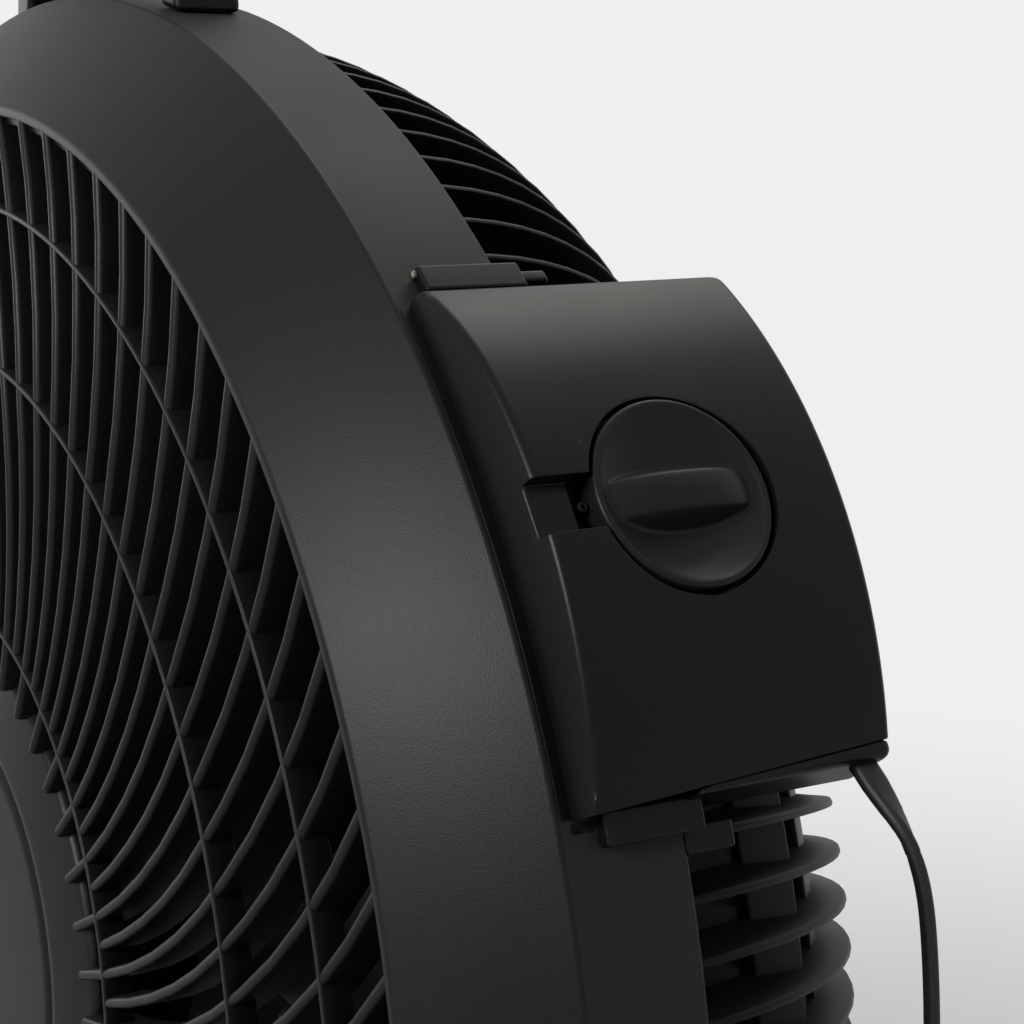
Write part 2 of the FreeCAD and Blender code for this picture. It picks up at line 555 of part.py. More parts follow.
def carry_handle():
    """Arch over the top of the drum with a gap for the fingers."""
    handle = new_body("carry_handle", HEAD)
    foot = "rim_radius + fit_gap"
    base = f"sqrt(({foot})^2 - handle_half^2)"
    inner_half = "(handle_half - handle_foot)"
    inner_base = f"sqrt(({foot})^2 - {inner_half}^2)"
    top = "(rim_radius + handle_reach)"
    edge, corner = "(handle_half - handle_lean)", "handle_chamfer"
    inner_edge, inner_corner = f"({inner_half} - handle_lean)", "handle_inner_chamfer"
    inner_top = f"{top} - handle_bar"
    outline = [
        ("-handle_half", base), (f"-{edge}", f"{top} - {corner}"), (f"{corner} - {edge}", top),
        (f"{edge} - {corner}", top), (edge, f"{top} - {corner}"), ("handle_half", base),
        (inner_half, inner_base), (inner_edge, f"{inner_top} - {inner_corner}"),
        (f"{inner_edge} - {inner_corner}", inner_top), (f"{inner_corner} - {inner_edge}", inner_top),
        (f"-{inner_edge}", f"{inner_top} - {inner_corner}"), (f"-{inner_half}", inner_base)]
    pad(handle, new_sketch(handle, "XY_Plane", [outline], lift="handle_deep / 2 - wall_depth / 2"),
        "handle_deep", backwards=True)


def leg(name, side):
    """Moulded leg: a round head at the pivot, a slim upright and a long foot."""
    made = new_body(name, PART)
    high, low = "axis_height", "pad_height"
    foot_top = "pad_height + foot_height"
    outline = [
        ("-foot_half", low), ("foot_half", low), ("foot_half", foot_top),
        ("foot_shoulder", "pad_height + foot_shoulder_height"), ("leg_waist", "leg_knee_height"),
        ("leg_head", high, "leg_head", -1), ("0", f"{high} + leg_head", "leg_head", -1),
        ("-leg_head", high), ("-leg_waist", "leg_knee_height"),
        ("-foot_shoulder", "pad_height + foot_shoulder_height"), ("-foot_half", foot_top)]
    lift = "leg_inner" if side > 0 else "-leg_inner"
    bore = [("0", high, "bolt_radius + shaft_gap")]
    bore += [(f"{s} * bar_reach", "bar_height", "bar_screw_radius + fit_gap") for s in (-1, 1)]
    pad(made, new_sketch(made, "YZ_Plane", [outline], bore, lift=lift), "leg_thick", backwards=side < 0)


def stand():
    """Two legs on rubber pads, joined by two tubes, with the pivots of the head."""
    leg("stand_leg_right", 1)
    leg("stand_leg_left", -1)
    for name, side in (("front_crossbar", -1), ("rear_crossbar", 1)):
        bar = new_body(name, PART)
        spot = (f"{side} * bar_reach", "bar_height")
        walls = [spot + ("bar_radius",), spot + ("bar_radius - bar_wall",)]
        pad(bar, new_sketch(bar, "YZ_Plane", circles=walls), "2 * leg_inner", middle=True)
    screws, pads, bolts, washers = (
        new_body(name, PART)
        for name in ("crossbar_screws", "rubber_feet", "pivot_bolts", "friction_washers"))
    for side in (-1, 1):
        back = side < 0
        outer = f"{side} * (leg_inner + leg_thick)"
        spots = [(f"{s} * bar_reach", "bar_height") for s in (-1, 1)]
        pad(screws, new_sketch(screws, "YZ_Plane", circles=[s + ("2 * bar_screw_radius",) for s in spots],
                               lift=outer), "screw_head_height", backwards=back)
        pad(screws, new_sketch(screws, "YZ_Plane", circles=[s + ("bar_screw_radius",) for s in spots],
                               lift=outer), "leg_thick + pad_length / 2", backwards=not back)
        axis = ("0", "axis_height")
        pad(bolts, new_sketch(bolts, "YZ_Plane", circles=[axis + ("bolt_head_radius",)], lift=outer),
            "bolt_head_height", backwards=back)
        pad(bolts, new_sketch(bolts, "YZ_Plane", circles=[axis + ("bolt_radius",)], lift=outer),
            "leg_thick + bolt_depth", backwards=not back)
        pad(washers, new_sketch(washers, "YZ_Plane", circles=[
            axis + ("pivot_boss_radius - washer_inset",), axis + ("bolt_radius + run_gap",)],
            lift=f"{side} * leg_inner"), "washer_thick", backwards=not back)
        for end in (-1, 1):
            tip, heel = f"{end} * (foot_half - pad_inset)", f"{end} * (foot_half - pad_inset - pad_length)"
            loop = [(tip, "0"), (tip, "pad_height"), (heel, "pad_height"), (heel, "0")]
            pad(pads, new_sketch(pads, "YZ_Plane", [loop[::end]], lift=f"{side} * (leg_inner + pad_side)"),
                "leg_thick - 2 * pad_side", backwards=back)
        pivot_boss("right_pivot_boss" if side > 0 else "left_pivot_boss", side)


def pivot_boss(name, side):
    """Round boss on the side wall that turns on the pivot bolt."""
    boss = doc.addObject("Part::Cylinder", name + "_post")
    boss.setExpression("Radius", bind("pivot_boss_radius"))
    boss.setExpression("Height", bind("leg_inner - washer_thick - run_gap"))
    hole = doc.addObject("Part::Cylinder", name + "_bore")
    hole.setExpression("Radius", bind("bolt_radius + shaft_gap"))
    hole.setExpression("Height", bind("leg_inner"))
    drum_space = doc.addObject("Part::Cylinder", name + "_drum")
    drum_space.setExpression("Radius", bind("rim_radius + fit_gap"))
    drum_space.setExpression("Height", bind("4 * pivot_boss_radius"))
    drum_space.setExpression("Placement", bind(
        "placement(vector(0; -2 * pivot_boss_radius; 0); rotation(vector(1; 0; 0); -90))"))
    tools = doc.addObject("Part::MultiFuse", name + "_space")
    for made in (boss, hole):
        across = f"placement(vector(0; 0; 0); rotation(vector(0; 1; 0); {90 * side}))"
        made.setExpression("Placement", across)
    tools.Shapes = [hole, drum_space]
    cut = doc.addObject("Part::Cut", name)
    cut.Base = boss
    cut.Tool = tools
    keep(cut, name, "placement(vector(0; 0; axis_height); rotation(vector(1; 0; 0); 0))")


TRIM_SHARE = 0.45


def tube_path(points, name):
    """Straight runs joined by tangent arcs, each as large as its two runs allow."""
    edges, radii = [], []
    start = points[0]
    for before, corner, after in zip(points, points[1:], points[2:]):
        arrive, leave = (corner - before), (after - corner)
        half_turn = arrive.getAngle(leave) / 2
        trim = TRIM_SHARE * min(arrive.Length, leave.Length)
        radii.append(trim / math.tan(half_turn))
        arrive.normalize()
        leave.normalize()
        entry, finish = corner - arrive * trim, corner + leave * trim
        inward = (leave - arrive).normalize()
        top = corner + inward * (radii[-1] / math.cos(half_turn) - radii[-1])
        edges.append(Part.makeLine(start, entry))
        edges.append(Part.Arc(entry, top, finish).toShape())
        start = finish
    edges.append(Part.makeLine(start, points[-1]))
    path = Part.Wire(edges)
    print(name, "radii", [round(r, 1) for r in radii], "length", round(path.Length, 1))
    return path


def swept(name, path, section, area):
    """A solid tube along a path, its volume compared with section times length."""
    shell = Part.BRepOffsetAPI.MakePipeShell(path)
    shell.add(section)
    shell.build()
    shell.makeSolid()
    solid = shell.shape()
    if solid.Volume < 0:
        solid = solid.reversed()
    print(name, "volume against section times length", round(solid.Volume / (area * path.Length), 4))
    return solid


def flat_section(start, along, wide, width, thick):
    """Rectangle square to a path, its long side along wide."""
    other = along.cross(wide).normalize()
    corner = [start + wide * (s * width / 2) + other * (t * thick / 2) for s, t in
              ((-1, -1), (1, -1), (1, 1), (-1, 1))]
    return Part.makePolygon(corner + corner[:1])


COIL_OUTER = size("coil_radius + coil_pitch * (coil_loops - 0.5) / 2")
COIL_FLOOR = size("cord_thick / 2 + tie_thick + floor_clear")
CORD_ROUTE = [
    (279.0, 64.3, 413.9), (284.6, 65.8, 406.2), (287.2, 67.4, 396.5), (287.6, 69.0, 384.0),
    (287.0, 71.0, 366.0), (285.5, 73.5, 335.0), (284.0, 76.5, 290.0), (281.5, 79.5, 240.0),
    (278.0, 82.2, 190.0), (273.0, 84.2, 145.0), (266.5, 85.4, 106.0), (258.0, 86.0, 71.0),
    (246.0, 86.0, 40.5), (227.5, 84.0, 18.5), (203.0, 81.5, 6.5)]


def biarc(start, start_way, end, end_way):
    """Two tangent arcs between two points with given directions."""
    gap = end - start
    both = start_way + end_way
    share = 2 * (1 - start_way.dot(end_way))
    reach = (-gap.dot(both) + math.sqrt(gap.dot(both) ** 2 + share * gap.dot(gap))) / share
    first, last = start + start_way * reach, end - end_way * reach
    middle = (first + last) * 0.5
    arcs = []
    for a, corner, b in ((start, first, middle), (middle, last, end)):
        half_chord = (b - a).Length / 2
        rise = corner - (a + b) * 0.5
        bend = math.atan2(rise.Length, half_chord)
        top = (a + b) * 0.5 + rise.normalize() * (half_chord * math.tan(bend / 2))
        arcs.append(Part.Arc(a, top, b).toShape())
    return arcs


def coil_point(turns):
    """A point of the put-away coil: it spirals in, dips and climbs a layer, and spirals out again."""
    loops, pitch = size("coil_loops"), size("coil_pitch")
    away = abs(turns - loops)
    near = min(max((away - 0.25) / 0.25, 0), 1)
    depth = loops - max(away, 0.5) + (0.25 + size("coil_dip")) * (1 - near)
    climb = min(max((turns - loops) * 2 + 0.5, 0), 1)
    height = COIL_FLOOR + size("coil_rise") * climb * climb * (3 - 2 * climb)
    spot = polar(COIL_OUTER - pitch * depth, 90 + 360 * turns)
    return Vector(size("coil_x") + spot.x, size("coil_y") + spot.y, height)


def coil_path():
    """Biarcs through the coil's points, a quarter turn apart, and a straight tail to the plug."""
    nudge = 0.002
    knots = []
    for index in range(int(8 * size("coil_loops")) + 1):
        turns = index / 4
        way = (coil_point(turns + nudge) - coil_point(turns - nudge)).normalize()
        knots.append((coil_point(turns), way))
    edges = []
    for (start, start_way), (end, end_way) in zip(knots, knots[1:]):
        edges += biarc(start, start_way, end, end_way)
    tail, tail_way = knots[-1]
    tip = tail + tail_way * size("coil_tail")
    edges.append(Part.makeLine(tail, tip))
    return Part.Wire(edges), knots[0], (tip, tail_way)


def least_gap(path, loop_length, width, thick):
    """Least distance between neighbouring turns, measured on points along the path."""
    sample = 3
    points = path.discretize(Distance=sample)
    skip = int(loop_length / 2 / sample)
    least = 1e9
    for i, a in enumerate(points):
        for b in points[i + skip:]:
            flat = math.hypot(a.x - b.x, a.y - b.y) - width
            rise = abs(a.z - b.z) - thick
            least = min(least, max(flat, rise))
    return least


def cord():
    """Flat twin cord: the hanging stretch, then the coil on the floor under the drum."""
    width, thick = size("cord_width"), size("cord_thick")
    path, (join, join_way), end = coil_path()
    out = polar(1, size("box_angle - 90"))
    out = Vector(out.x, 0, out.y)
    outward = Vector(-out.z, 0, out.x) * size("gland_top - (gland_height + fit_gap) / 2")
    mouth = outward + out * size("gland_face")
    mouth += Vector(0, size("gland_back - wall_depth / 2"), size("axis_height"))
    route = [mouth + out * size("mouth_gap")] + [Vector(*p) for p in CORD_ROUTE]
    route += [join - join_way * size("coil_lead_in"), join]
    drop = tube_path(route, "cord_drop")
    section = flat_section(route[0], (route[1] - route[0]).normalize(), Vector(0, 1, 0), width, thick)
    keep(plain_feature("cord_drop", swept("cord_drop", drop, section, width * thick)), "cord_drop", PART)
    section = flat_section(join, join_way, join_way.cross(Vector(0, 0, 1)).normalize(), width, thick)
    keep(plain_feature("cord_coil", swept("cord_coil", path, section, width * thick)), "cord_coil", PART)
    gap = least_gap(path, 2 * math.pi * size("coil_radius"), width, thick)
    print("cord_coil least gap", round(gap, 2), "length", round(path.Length, 1))
    print("cord length in all", round(drop.Length + path.Length, 1))
    return end


def cord_tie():
    """Strap round the bundle of turns, on the side away from the climb."""
    tie_body = new_body("cord_tie", "placement(vector(coil_x; coil_y; 0); rotation(vector(0; 0; 1); 0))")
    room = size("cord_width / 2 + tie_room")
    low = COIL_FLOOR - size("cord_thick / 2 + floor_clear / 2")
    high = COIL_FLOOR + size("coil_rise + cord_thick / 2 + tie_room")
    outer = COIL_OUTER + room
    inner = COIL_OUTER - size("coil_pitch") * (size("coil_loops") - 0.5) - room - size("tie_slack")
    wall = size("tie_thick")
    loops = [[(inner - t, low - t), (outer + t, low - t), (outer + t, high + t), (inner - t, high + t)]
             for t in (0, wall)]
    pad(tie_body, new_sketch(tie_body, "XZ_Plane", loops), "tie_width", middle=True)


def plug(tip, way):
    """Two-pin plug at the end of the cord, lying on the floor beside the coil."""
    turned = math.degrees(math.atan2(way.y, way.x))
    middle = "plug_height / 2 + floor_clear / 2"
    frame = f"placement(vector({tip.x}; {tip.y}; {middle}); rotation(vector(0; 0; 1); {turned}))"
    grip = new_body("plug_body", frame)
    neck, wide = "plug_neck / 2", "plug_width / 2"
    pad(grip, new_sketch(grip, "XY_Plane", [[
        ("0", f"-{neck}"), ("plug_length / 4", f"-{neck}"), ("plug_length / 2", f"-{wide}"),
        ("plug_length", f"-{wide}"), ("plug_length", wide), ("plug_length / 2", wide),
        ("plug_length / 4", neck), ("0", neck)]]), "plug_height", middle=True)
    pins = new_body("plug_pins", frame)
    rows = []
    for side in (-1, 1):
        near, far = f"{side} * pin_spacing / 2 - pin_thick / 2", f"{side} * pin_spacing / 2 + pin_thick / 2"
        rows.append([("plug_length", near), ("plug_length + pin_length", near),
                     ("plug_length + pin_length", far), ("plug_length", far)])
    pad(pins, new_sketch(pins, "XY_Plane", rows), "pin_width", middle=True)


LEAD_STOPS = [(112, -98), (170, -107), (215, -102), (246, -87)]


def motor_lead():
    """Lead from the motor along the inside of the basket to the control box."""
    stack_side = size("stack_half") / math.cos(math.radians(size("lead_angle")))
    stops = [(stack_side + size("run_gap"), size(f"{STACK_FRONT} - stack_depth / 2"))] + LEAD_STOPS
    stops.append((size("box_floor_radius - run_gap"), size("-lead_back")))
    points = [polar(radius, size("lead_angle")) + Vector(0, 0, height) for radius, height in stops]
    path = tube_path(points, "motor_lead")
    wide = polar(1, size("lead_angle") + 90)
    width, thick = size("lead_width"), size("lead_thick")
    section = flat_section(points[0], (points[1] - points[0]).normalize(), wide, width, thick)
    keep(plain_feature("motor_lead", swept("motor_lead", path, section, width * thick)), "motor_lead")


drum()
front_grille()
rear_grille()
motor()
rotor()
control_box()
carry_handle()
stand()
motor_lead()
plug(*cord())
cord_tie()
doc.recompute()

for made in doc.Objects:
    if "Invalid" in made.State or "Error" in made.State:
        raise RuntimeError(f"{made.Label} failed: {made.State}")
for made in parts:
    if made.Shape.isNull() or not made.Shape.isValid():
        raise RuntimeError(f"{made.Label} has no valid shape")

os.makedirs("parts", exist_ok=True)
for made in parts:
    made.Shape.exportStep(f"parts/{made.Label}.step")
    print(made.Label, len(made.Shape.Solids), "solid", round(made.Shape.Volume / 1000, 2), "cm3")
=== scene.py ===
# %% [markdown]
# # A drum floor fan, dressed step by step
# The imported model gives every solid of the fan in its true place. Each lesson below takes one piece
# of the fan, says what it is on the real one, and makes it look like that.

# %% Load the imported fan
import bmesh
import bpy
import math
from mathutils import Matrix, Vector


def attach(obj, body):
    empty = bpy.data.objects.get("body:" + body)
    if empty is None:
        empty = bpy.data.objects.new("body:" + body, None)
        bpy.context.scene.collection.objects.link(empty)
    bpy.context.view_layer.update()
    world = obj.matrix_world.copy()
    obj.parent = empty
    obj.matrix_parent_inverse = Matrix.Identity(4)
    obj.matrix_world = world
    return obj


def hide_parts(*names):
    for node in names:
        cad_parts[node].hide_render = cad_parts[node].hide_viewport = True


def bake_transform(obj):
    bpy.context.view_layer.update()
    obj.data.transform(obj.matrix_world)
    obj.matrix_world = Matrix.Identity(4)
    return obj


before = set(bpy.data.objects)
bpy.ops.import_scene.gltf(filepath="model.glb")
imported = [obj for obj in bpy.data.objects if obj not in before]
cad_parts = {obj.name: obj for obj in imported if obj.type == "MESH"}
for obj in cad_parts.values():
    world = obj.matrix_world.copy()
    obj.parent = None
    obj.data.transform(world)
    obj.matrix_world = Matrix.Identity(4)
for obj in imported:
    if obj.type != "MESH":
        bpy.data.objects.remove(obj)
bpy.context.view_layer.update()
scene = bpy.context.scene
MM = 0.001

# %% [markdown]
# ## Where the camera stands
# The picture is a close look at the upper right of the drum, from the front right and a little above.
# The place and lens below come from fitting the drum's circles to their outlines in the picture.

# %% Camera
LENS, SENSOR_WIDTH, NEAREST = 82.43, 36, 0.01
CAMERA_PLACE = (0.66832, -0.28378, 0.56716)
TOWARDS_CAMERA = Vector((0.83436, -0.52693, 0.16185))
camera_data = bpy.data.cameras.new("close_view")
camera_data.lens = LENS
camera_data.sensor_width = SENSOR_WIDTH
camera_data.clip_start = NEAREST
camera = bpy.data.objects.new("close_view", camera_data)
scene.collection.objects.link(camera)
camera.location = CAMERA_PLACE
camera.rotation_mode = "QUATERNION"
camera.rotation_quaternion = (-TOWARDS_CAMERA).to_track_quat("-Z", "Y")
scene.camera = camera
print("camera with a lens of", LENS, "mm")

# %% [markdown]
# ## Sums with sockets
# A finish is a small net of nodes. Written as Python sums it is easier to follow: a Socket stands for
# one output, and adding or multiplying sockets puts the Math nodes in. All patterns read Object
# coordinates, so they stay on the piece when it moves.


# %% Sockets
class Socket:
    """One output of a finish; sums of sockets add Math nodes."""

    def __init__(self, finish, output):
        self.finish = finish
        self.output = output

    def sums(self, operation, left, right):
        return self.finish.node("ShaderNodeMath", {"operation": operation}, {0: left, 1: right})

    def __add__(self, other):
        return self.sums("ADD", self, other)

    def __sub__(self, other):
        return self.sums("SUBTRACT", self, other)

    def __rsub__(self, other):
        return self.sums("SUBTRACT", other, self)

    def __mul__(self, other):
        return self.sums("MULTIPLY", self, other)

    __radd__, __rmul__ = __add__, __mul__


# %% Finishes
class Finish:
    """A material under construction: its nodes, and the shader they feed."""

    def __init__(self, name):
        self.material = bpy.data.materials.new(name)
        self.material.use_nodes = True
        self.tree = self.material.node_tree
        self.shader = self.tree.nodes["Principled BSDF"]
        self.place = self.node("ShaderNodeTexCoord", give="Object")
        self.facing = Socket(self, self.place.output.node.outputs["Normal"])

    def node(self, kind, settings=None, sockets=None, give=0):
        """Add a node: its settings first, then the values or links of its sockets."""
        made = self.tree.nodes.new(kind)
        for name, value in (settings or {}).items():
            setattr(made, name, value)
        for name, value in (sockets or {}).items():
            self.feed(made.inputs[name], value)
        return Socket(self, made.outputs[give])

    def feed(self, socket, value):
        if isinstance(value, Socket):
            self.tree.links.new(value.output, socket)
        else:
            socket.default_value = value

    def noise(self, scale, detail=2.0, stretch=(1, 1, 1)):
        place = self.node("ShaderNodeMapping", sockets={"Vector": self.place, "Scale": stretch})
        return self.node("ShaderNodeTexNoise", sockets={"Vector": place, "Scale": scale, "Detail": detail})

    def ramp(self, value, low, high):
        """Stretch a range of values to the span from 0 to 1."""
        return self.node("ShaderNodeMapRange", {"interpolation_type": "SMOOTHSTEP"},
                         {"Value": value, "From Min": low, "From Max": high})

    def between(self, share, low, high):
        return self.node("ShaderNodeMix", {"data_type": "RGBA"}, {0: share, 6: low, 7: high}, give=2)

    def bump(self, height, distance, strength=1.0):
        return self.node("ShaderNodeBump", sockets={
            "Height": height, "Distance": distance, "Strength": strength})

    def surface(self, **sockets):
        for name, value in sockets.items():
            self.feed(self.shader.inputs[name.replace("_", " ")], value)
        return self.material


def grey(level, warm=0.0):
    """A colour of one linear level, a little warmer or cooler."""
    return (level * (1 + warm), level, level * (1 - warm), 1)


# %% [markdown]
# ## Moulded plastic
# Nearly all of the fan is black moulded plastic, in three textures: a sandy spark-eroded grain on the
# bezel, a smooth satin skin on the wall and the box, and a plainer moulding on the grilles. One recipe
# covers them: a fine grain as bump, broad clouds that shift shade and gloss, thin dust where the
# surface faces up, and a few specks of lint.

# %% Plastic recipe
CLOUD_SCALE, PATCH_SCALE, SPECK_SCALE = 14, 40, 55.0
SPECK_SIZE, SPECK_EDGE = 0.016, 0.04
DUST_COLOUR = grey(0.23, 0.09)


def moulded(name, level, rough, grain, depth, dust=0.02, warm=0.0, gloss=0.18, lint=0.0, speckle=0.18):
    """Black plastic with a grain of so many lumps a metre and a bump of so many metres."""
    finish = Finish(name)
    lumps = finish.noise(grain, 3.0)
    clouds = finish.noise(CLOUD_SCALE, 4.0)
    crumbs = finish.node("ShaderNodeTexVoronoi", sockets={"Vector": finish.place, "Scale": SPECK_SCALE})
    patches = finish.ramp(finish.noise(PATCH_SCALE), 0.52, 0.6)
    dots = (1 - finish.ramp(crumbs, SPECK_SIZE, SPECK_EDGE)) * patches
    up = finish.node("ShaderNodeSeparateXYZ", sockets={0: finish.facing}, give=2)
    settled = finish.ramp(up, 0.35, 1.0) * (0.35 + clouds * 0.9)
    mottle = finish.ramp(clouds * 0.5 + lumps * 0.5, 0.3, 0.7)
    shade = finish.between(mottle, grey(level * (1 - speckle), warm), grey(level * (1 + speckle), warm))
    return finish.surface(
        Base_Color=finish.between(settled * dust * 8 + dots * lint, shade, DUST_COLOUR),
        Roughness=rough + (clouds - 0.5) * 0.14 + settled * 0.1 + (lumps - 0.5) * 0.08,
        Normal=finish.bump(lumps, depth),
        Specular_IOR_Level=gloss)


# %% Plastic finishes
bezel_grain = moulded("bezel_grain", 0.0035, 0.41, 2600, 0.00005,
                      dust=0.002, gloss=0.16, lint=0.6, speckle=0.5)
satin_shell = moulded("satin_shell", 0.004, 0.33, 1500, 0.00002,
                      dust=0.003, warm=0.05, gloss=0.115, lint=0.1)
drum_satin = moulded("drum_satin", 0.018, 0.5, 1500, 0.00003,
                     dust=0.004, warm=0.06, gloss=0.11, lint=0.1)
louvre_black = moulded("louvre_black", 0.004, 0.4, 1300, 0.00003, dust=0.002, gloss=0.17)
basket_black = moulded("basket_black", 0.003, 0.42, 1300, 0.00003, dust=0.004, gloss=0.1)
knob_black = moulded("knob_black", 0.008, 0.36, 1700, 0.00002, dust=0.003, gloss=0.12, lint=0.15)
badge_black = moulded("badge_black", 0.006, 0.38, 1500, 0.00003, dust=0.003, gloss=0.1)
blade_grey = moulded("blade_grey", 0.009, 0.42, 900, 0.00004, dust=0.01)
leg_black = moulded("leg_black", 0.009, 0.42, 1500, 0.00009, dust=0.01)
print(len(bpy.data.materials), "finishes so far")

# %% [markdown]
# ## Metal, rubber and the rest
# The motor inside has zinc-plated screws, a stack of thin iron sheets and copper-coloured coils, and
# the stand has powder-coated tubes and rubber pads. Sheets show as fine stripes across the stack, and
# wound wire as fine stripes round the coil.


# %% Metal and rubber recipes
def metal(name, colour, rough, stretch=(1, 1, 1), depth=0.00001):
    """Bare metal with drawn or ground lines along one way."""
    finish = Finish(name)
    lines = finish.noise(700, 2.0, stretch)
    clouds = finish.noise(22, 3.0)
    dark = tuple(c * 0.72 for c in colour[:3]) + (1,)
    return finish.surface(
        Base_Color=finish.between(clouds, dark, colour),
        Metallic=1.0,
        Roughness=rough + (lines - 0.5) * 0.2 + (clouds - 0.5) * 0.15,
        Normal=finish.bump(lines, depth))


def striped(name, low, high, pitch, metallic, rough):
    """Thin layers along Y, as in stacked sheets or wound wire."""
    finish = Finish(name)
    along = finish.node("ShaderNodeSeparateXYZ", sockets={0: finish.place}, give=1)
    wave = finish.node("ShaderNodeMath", {"operation": "SINE"}, {0: along * (2 * math.pi / pitch)})
    layers = wave * 0.5 + 0.5
    clouds = finish.noise(60, 3.0)
    return finish.surface(
        Base_Color=finish.between(layers * 0.7 + clouds * 0.3, low, high),
        Metallic=metallic,
        Roughness=rough + (clouds - 0.5) * 0.2,
        Normal=finish.bump(layers, pitch / 4))


def rubbery(name, level, rough, grain):
    """Soft black cover, matt where it is handled."""
    finish = Finish(name)
    lumps = finish.noise(grain, 3.0)
    clouds = finish.noise(30, 3.0)
    return finish.surface(
        Base_Color=finish.between(clouds, grey(level * 0.8), grey(level * 1.25)),
        Roughness=rough + (clouds - 0.5) * 0.18,
        Normal=finish.bump(lumps, 0.00004),
        Specular_IOR_Level=0.25)


# %% Metal and rubber finishes
zinc = metal("zinc_plate", (0.56, 0.57, 0.58, 1), 0.32)
dull_steel = metal("dull_steel", (0.15, 0.145, 0.13, 1), 0.45)
bronze = metal("bush_bronze", (0.46, 0.32, 0.16, 1), 0.38)
pin_metal = metal("pin_metal", (0.72, 0.66, 0.5, 1), 0.24, stretch=(0.05, 1, 1))
powder_coat = moulded("powder_coat", 0.01, 0.45, 1100, 0.00009, dust=0.01)
iron_sheets = striped("iron_sheets", grey(0.09), grey(0.24), 0.001, 0.9, 0.42)
coil_wire = striped("coil_wire", (0.16, 0.05, 0.02, 1), (0.46, 0.19, 0.07, 1), 0.0008, 0.7, 0.35)
pad_rubber = rubbery("pad_rubber", 0.012, 0.72, 800)
cord_cover = rubbery("cord_cover", 0.007, 0.46, 1600)
pale_nylon = moulded("pale_nylon", 0.5, 0.45, 1200, 0.00003, dust=0.01, warm=0.03)
print(len(bpy.data.materials), "finishes in all")

# %% [markdown]
# ## Putting a piece in its place
# Every piece below is shaped on its own and then put on the fan in the same way: moved into place,
# given its finish, fixed to the body it moves with, and the solids it stands for are hidden.


# %% Placing tools
def place_piece(name, bm, body, material, *nodes, at=Matrix.Identity(4), sharp=38, even=False):
    """Put a finished shape in its place, give it its finish and let it stand for its nodes."""
    bmesh.ops.transform(bm, matrix=at, verts=bm.verts)
    mesh = bpy.data.meshes.new(name)
    bm.to_mesh(mesh)
    bm.free()
    mesh.shade_smooth()
    mesh.set_sharp_from_angle(angle=math.radians(sharp))
    mesh.materials.append(material)
    piece = bpy.data.objects.new(name, mesh)
    scene.collection.objects.link(piece)
    if even:
        piece.modifiers.new("even_normals", "WEIGHTED_NORMAL").keep_sharp = True
    if body:
        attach(piece, body)
    if nodes:
        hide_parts(*nodes)
    print(name, len(mesh.polygons), "faces")
    return piece


def outward(bm):
    """Close up seams, drop loose edges and turn the faces outwards."""
    bmesh.ops.remove_doubles(bm, verts=bm.verts, dist=2e-7)
    loose = [e for e in bm.edges if not e.link_faces]
    bmesh.ops.delete(bm, geom=loose, context="EDGES")
    bmesh.ops.recalc_face_normals(bm, faces=bm.faces)
    return bm


# %% [markdown]
# ## The cord
# A flat two-core cord leaves the lower rear corner of the control box, hangs down behind the leg and
# ends in a put-away coil with its plug. The real cover is extruded round the two cores, so it has two
# lobes with a shallow waist. Its line is one NURBS spline through the route's points. Rings of that
# section stand along the line and are bridged to a skin, because a ring can then be turned or made
# larger by itself: the cord twists just below the box.

# %% Cord route
MOUTH = Vector((0.2702034, 0.0635, 0.4218492))
HANG = [
    (0.279, 0.0643, 0.4139), (0.2846, 0.0658, 0.4062), (0.2872, 0.0674, 0.3965), (0.2876, 0.069, 0.384),
    (0.287, 0.071, 0.366), (0.2855, 0.0735, 0.335), (0.284, 0.0765, 0.29), (0.2815, 0.0795, 0.24),
    (0.278, 0.0822, 0.19), (0.273, 0.0842, 0.145), (0.2665, 0.0854, 0.106), (0.258, 0.086, 0.071),
    (0.246, 0.086, 0.0405), (0.2275, 0.084, 0.0185), (0.203, 0.0815, 0.0065)]
COIL_MIDDLE = Vector((0.15, 0.036, 0.0029))
COIL_LOOPS, COIL_PITCH, COIL_OUTER, COIL_RISE = 3.25, 0.0065, 0.0419375, 0.004
COIL_TURN_BACK, POINTS_A_TURN = 0.75, 16
LEAD_IN, TAIL_LENGTH, SMALL_TURN = Vector((0.026, 0.0005, 0)), 0.034, 0.002


def coil_point(turns):
    """The coil spirals in, climbs a layer and spirals out again."""
    away = abs(turns - COIL_LOOPS)
    near = min(max((away - 0.25) / 0.25, 0), 1)
    depth = COIL_LOOPS - max(away, 0.5) + COIL_TURN_BACK * (1 - near)
    climb = min(max((turns - COIL_LOOPS) * 2 + 0.5, 0), 1)
    angle = math.radians(90 + 360 * turns)
    spot = Vector((math.cos(angle), math.sin(angle), 0)) * (COIL_OUTER - COIL_PITCH * depth)
    return COIL_MIDDLE + spot + Vector((0, 0, COIL_RISE * climb * climb * (3 - 2 * climb)))


coil_turns = 2 * COIL_LOOPS
coil = [coil_point(i / POINTS_A_TURN) for i in range(int(coil_turns * POINTS_A_TURN) + 1)]
tail_way = (coil_point(coil_turns + SMALL_TURN) - coil_point(coil_turns - SMALL_TURN)).normalized()
tail = coil[-1] + tail_way * TAIL_LENGTH
route = [MOUTH] + [Vector(p) for p in HANG] + [coil[0] + LEAD_IN] + coil + [tail]
print("route of", len(route), "points")

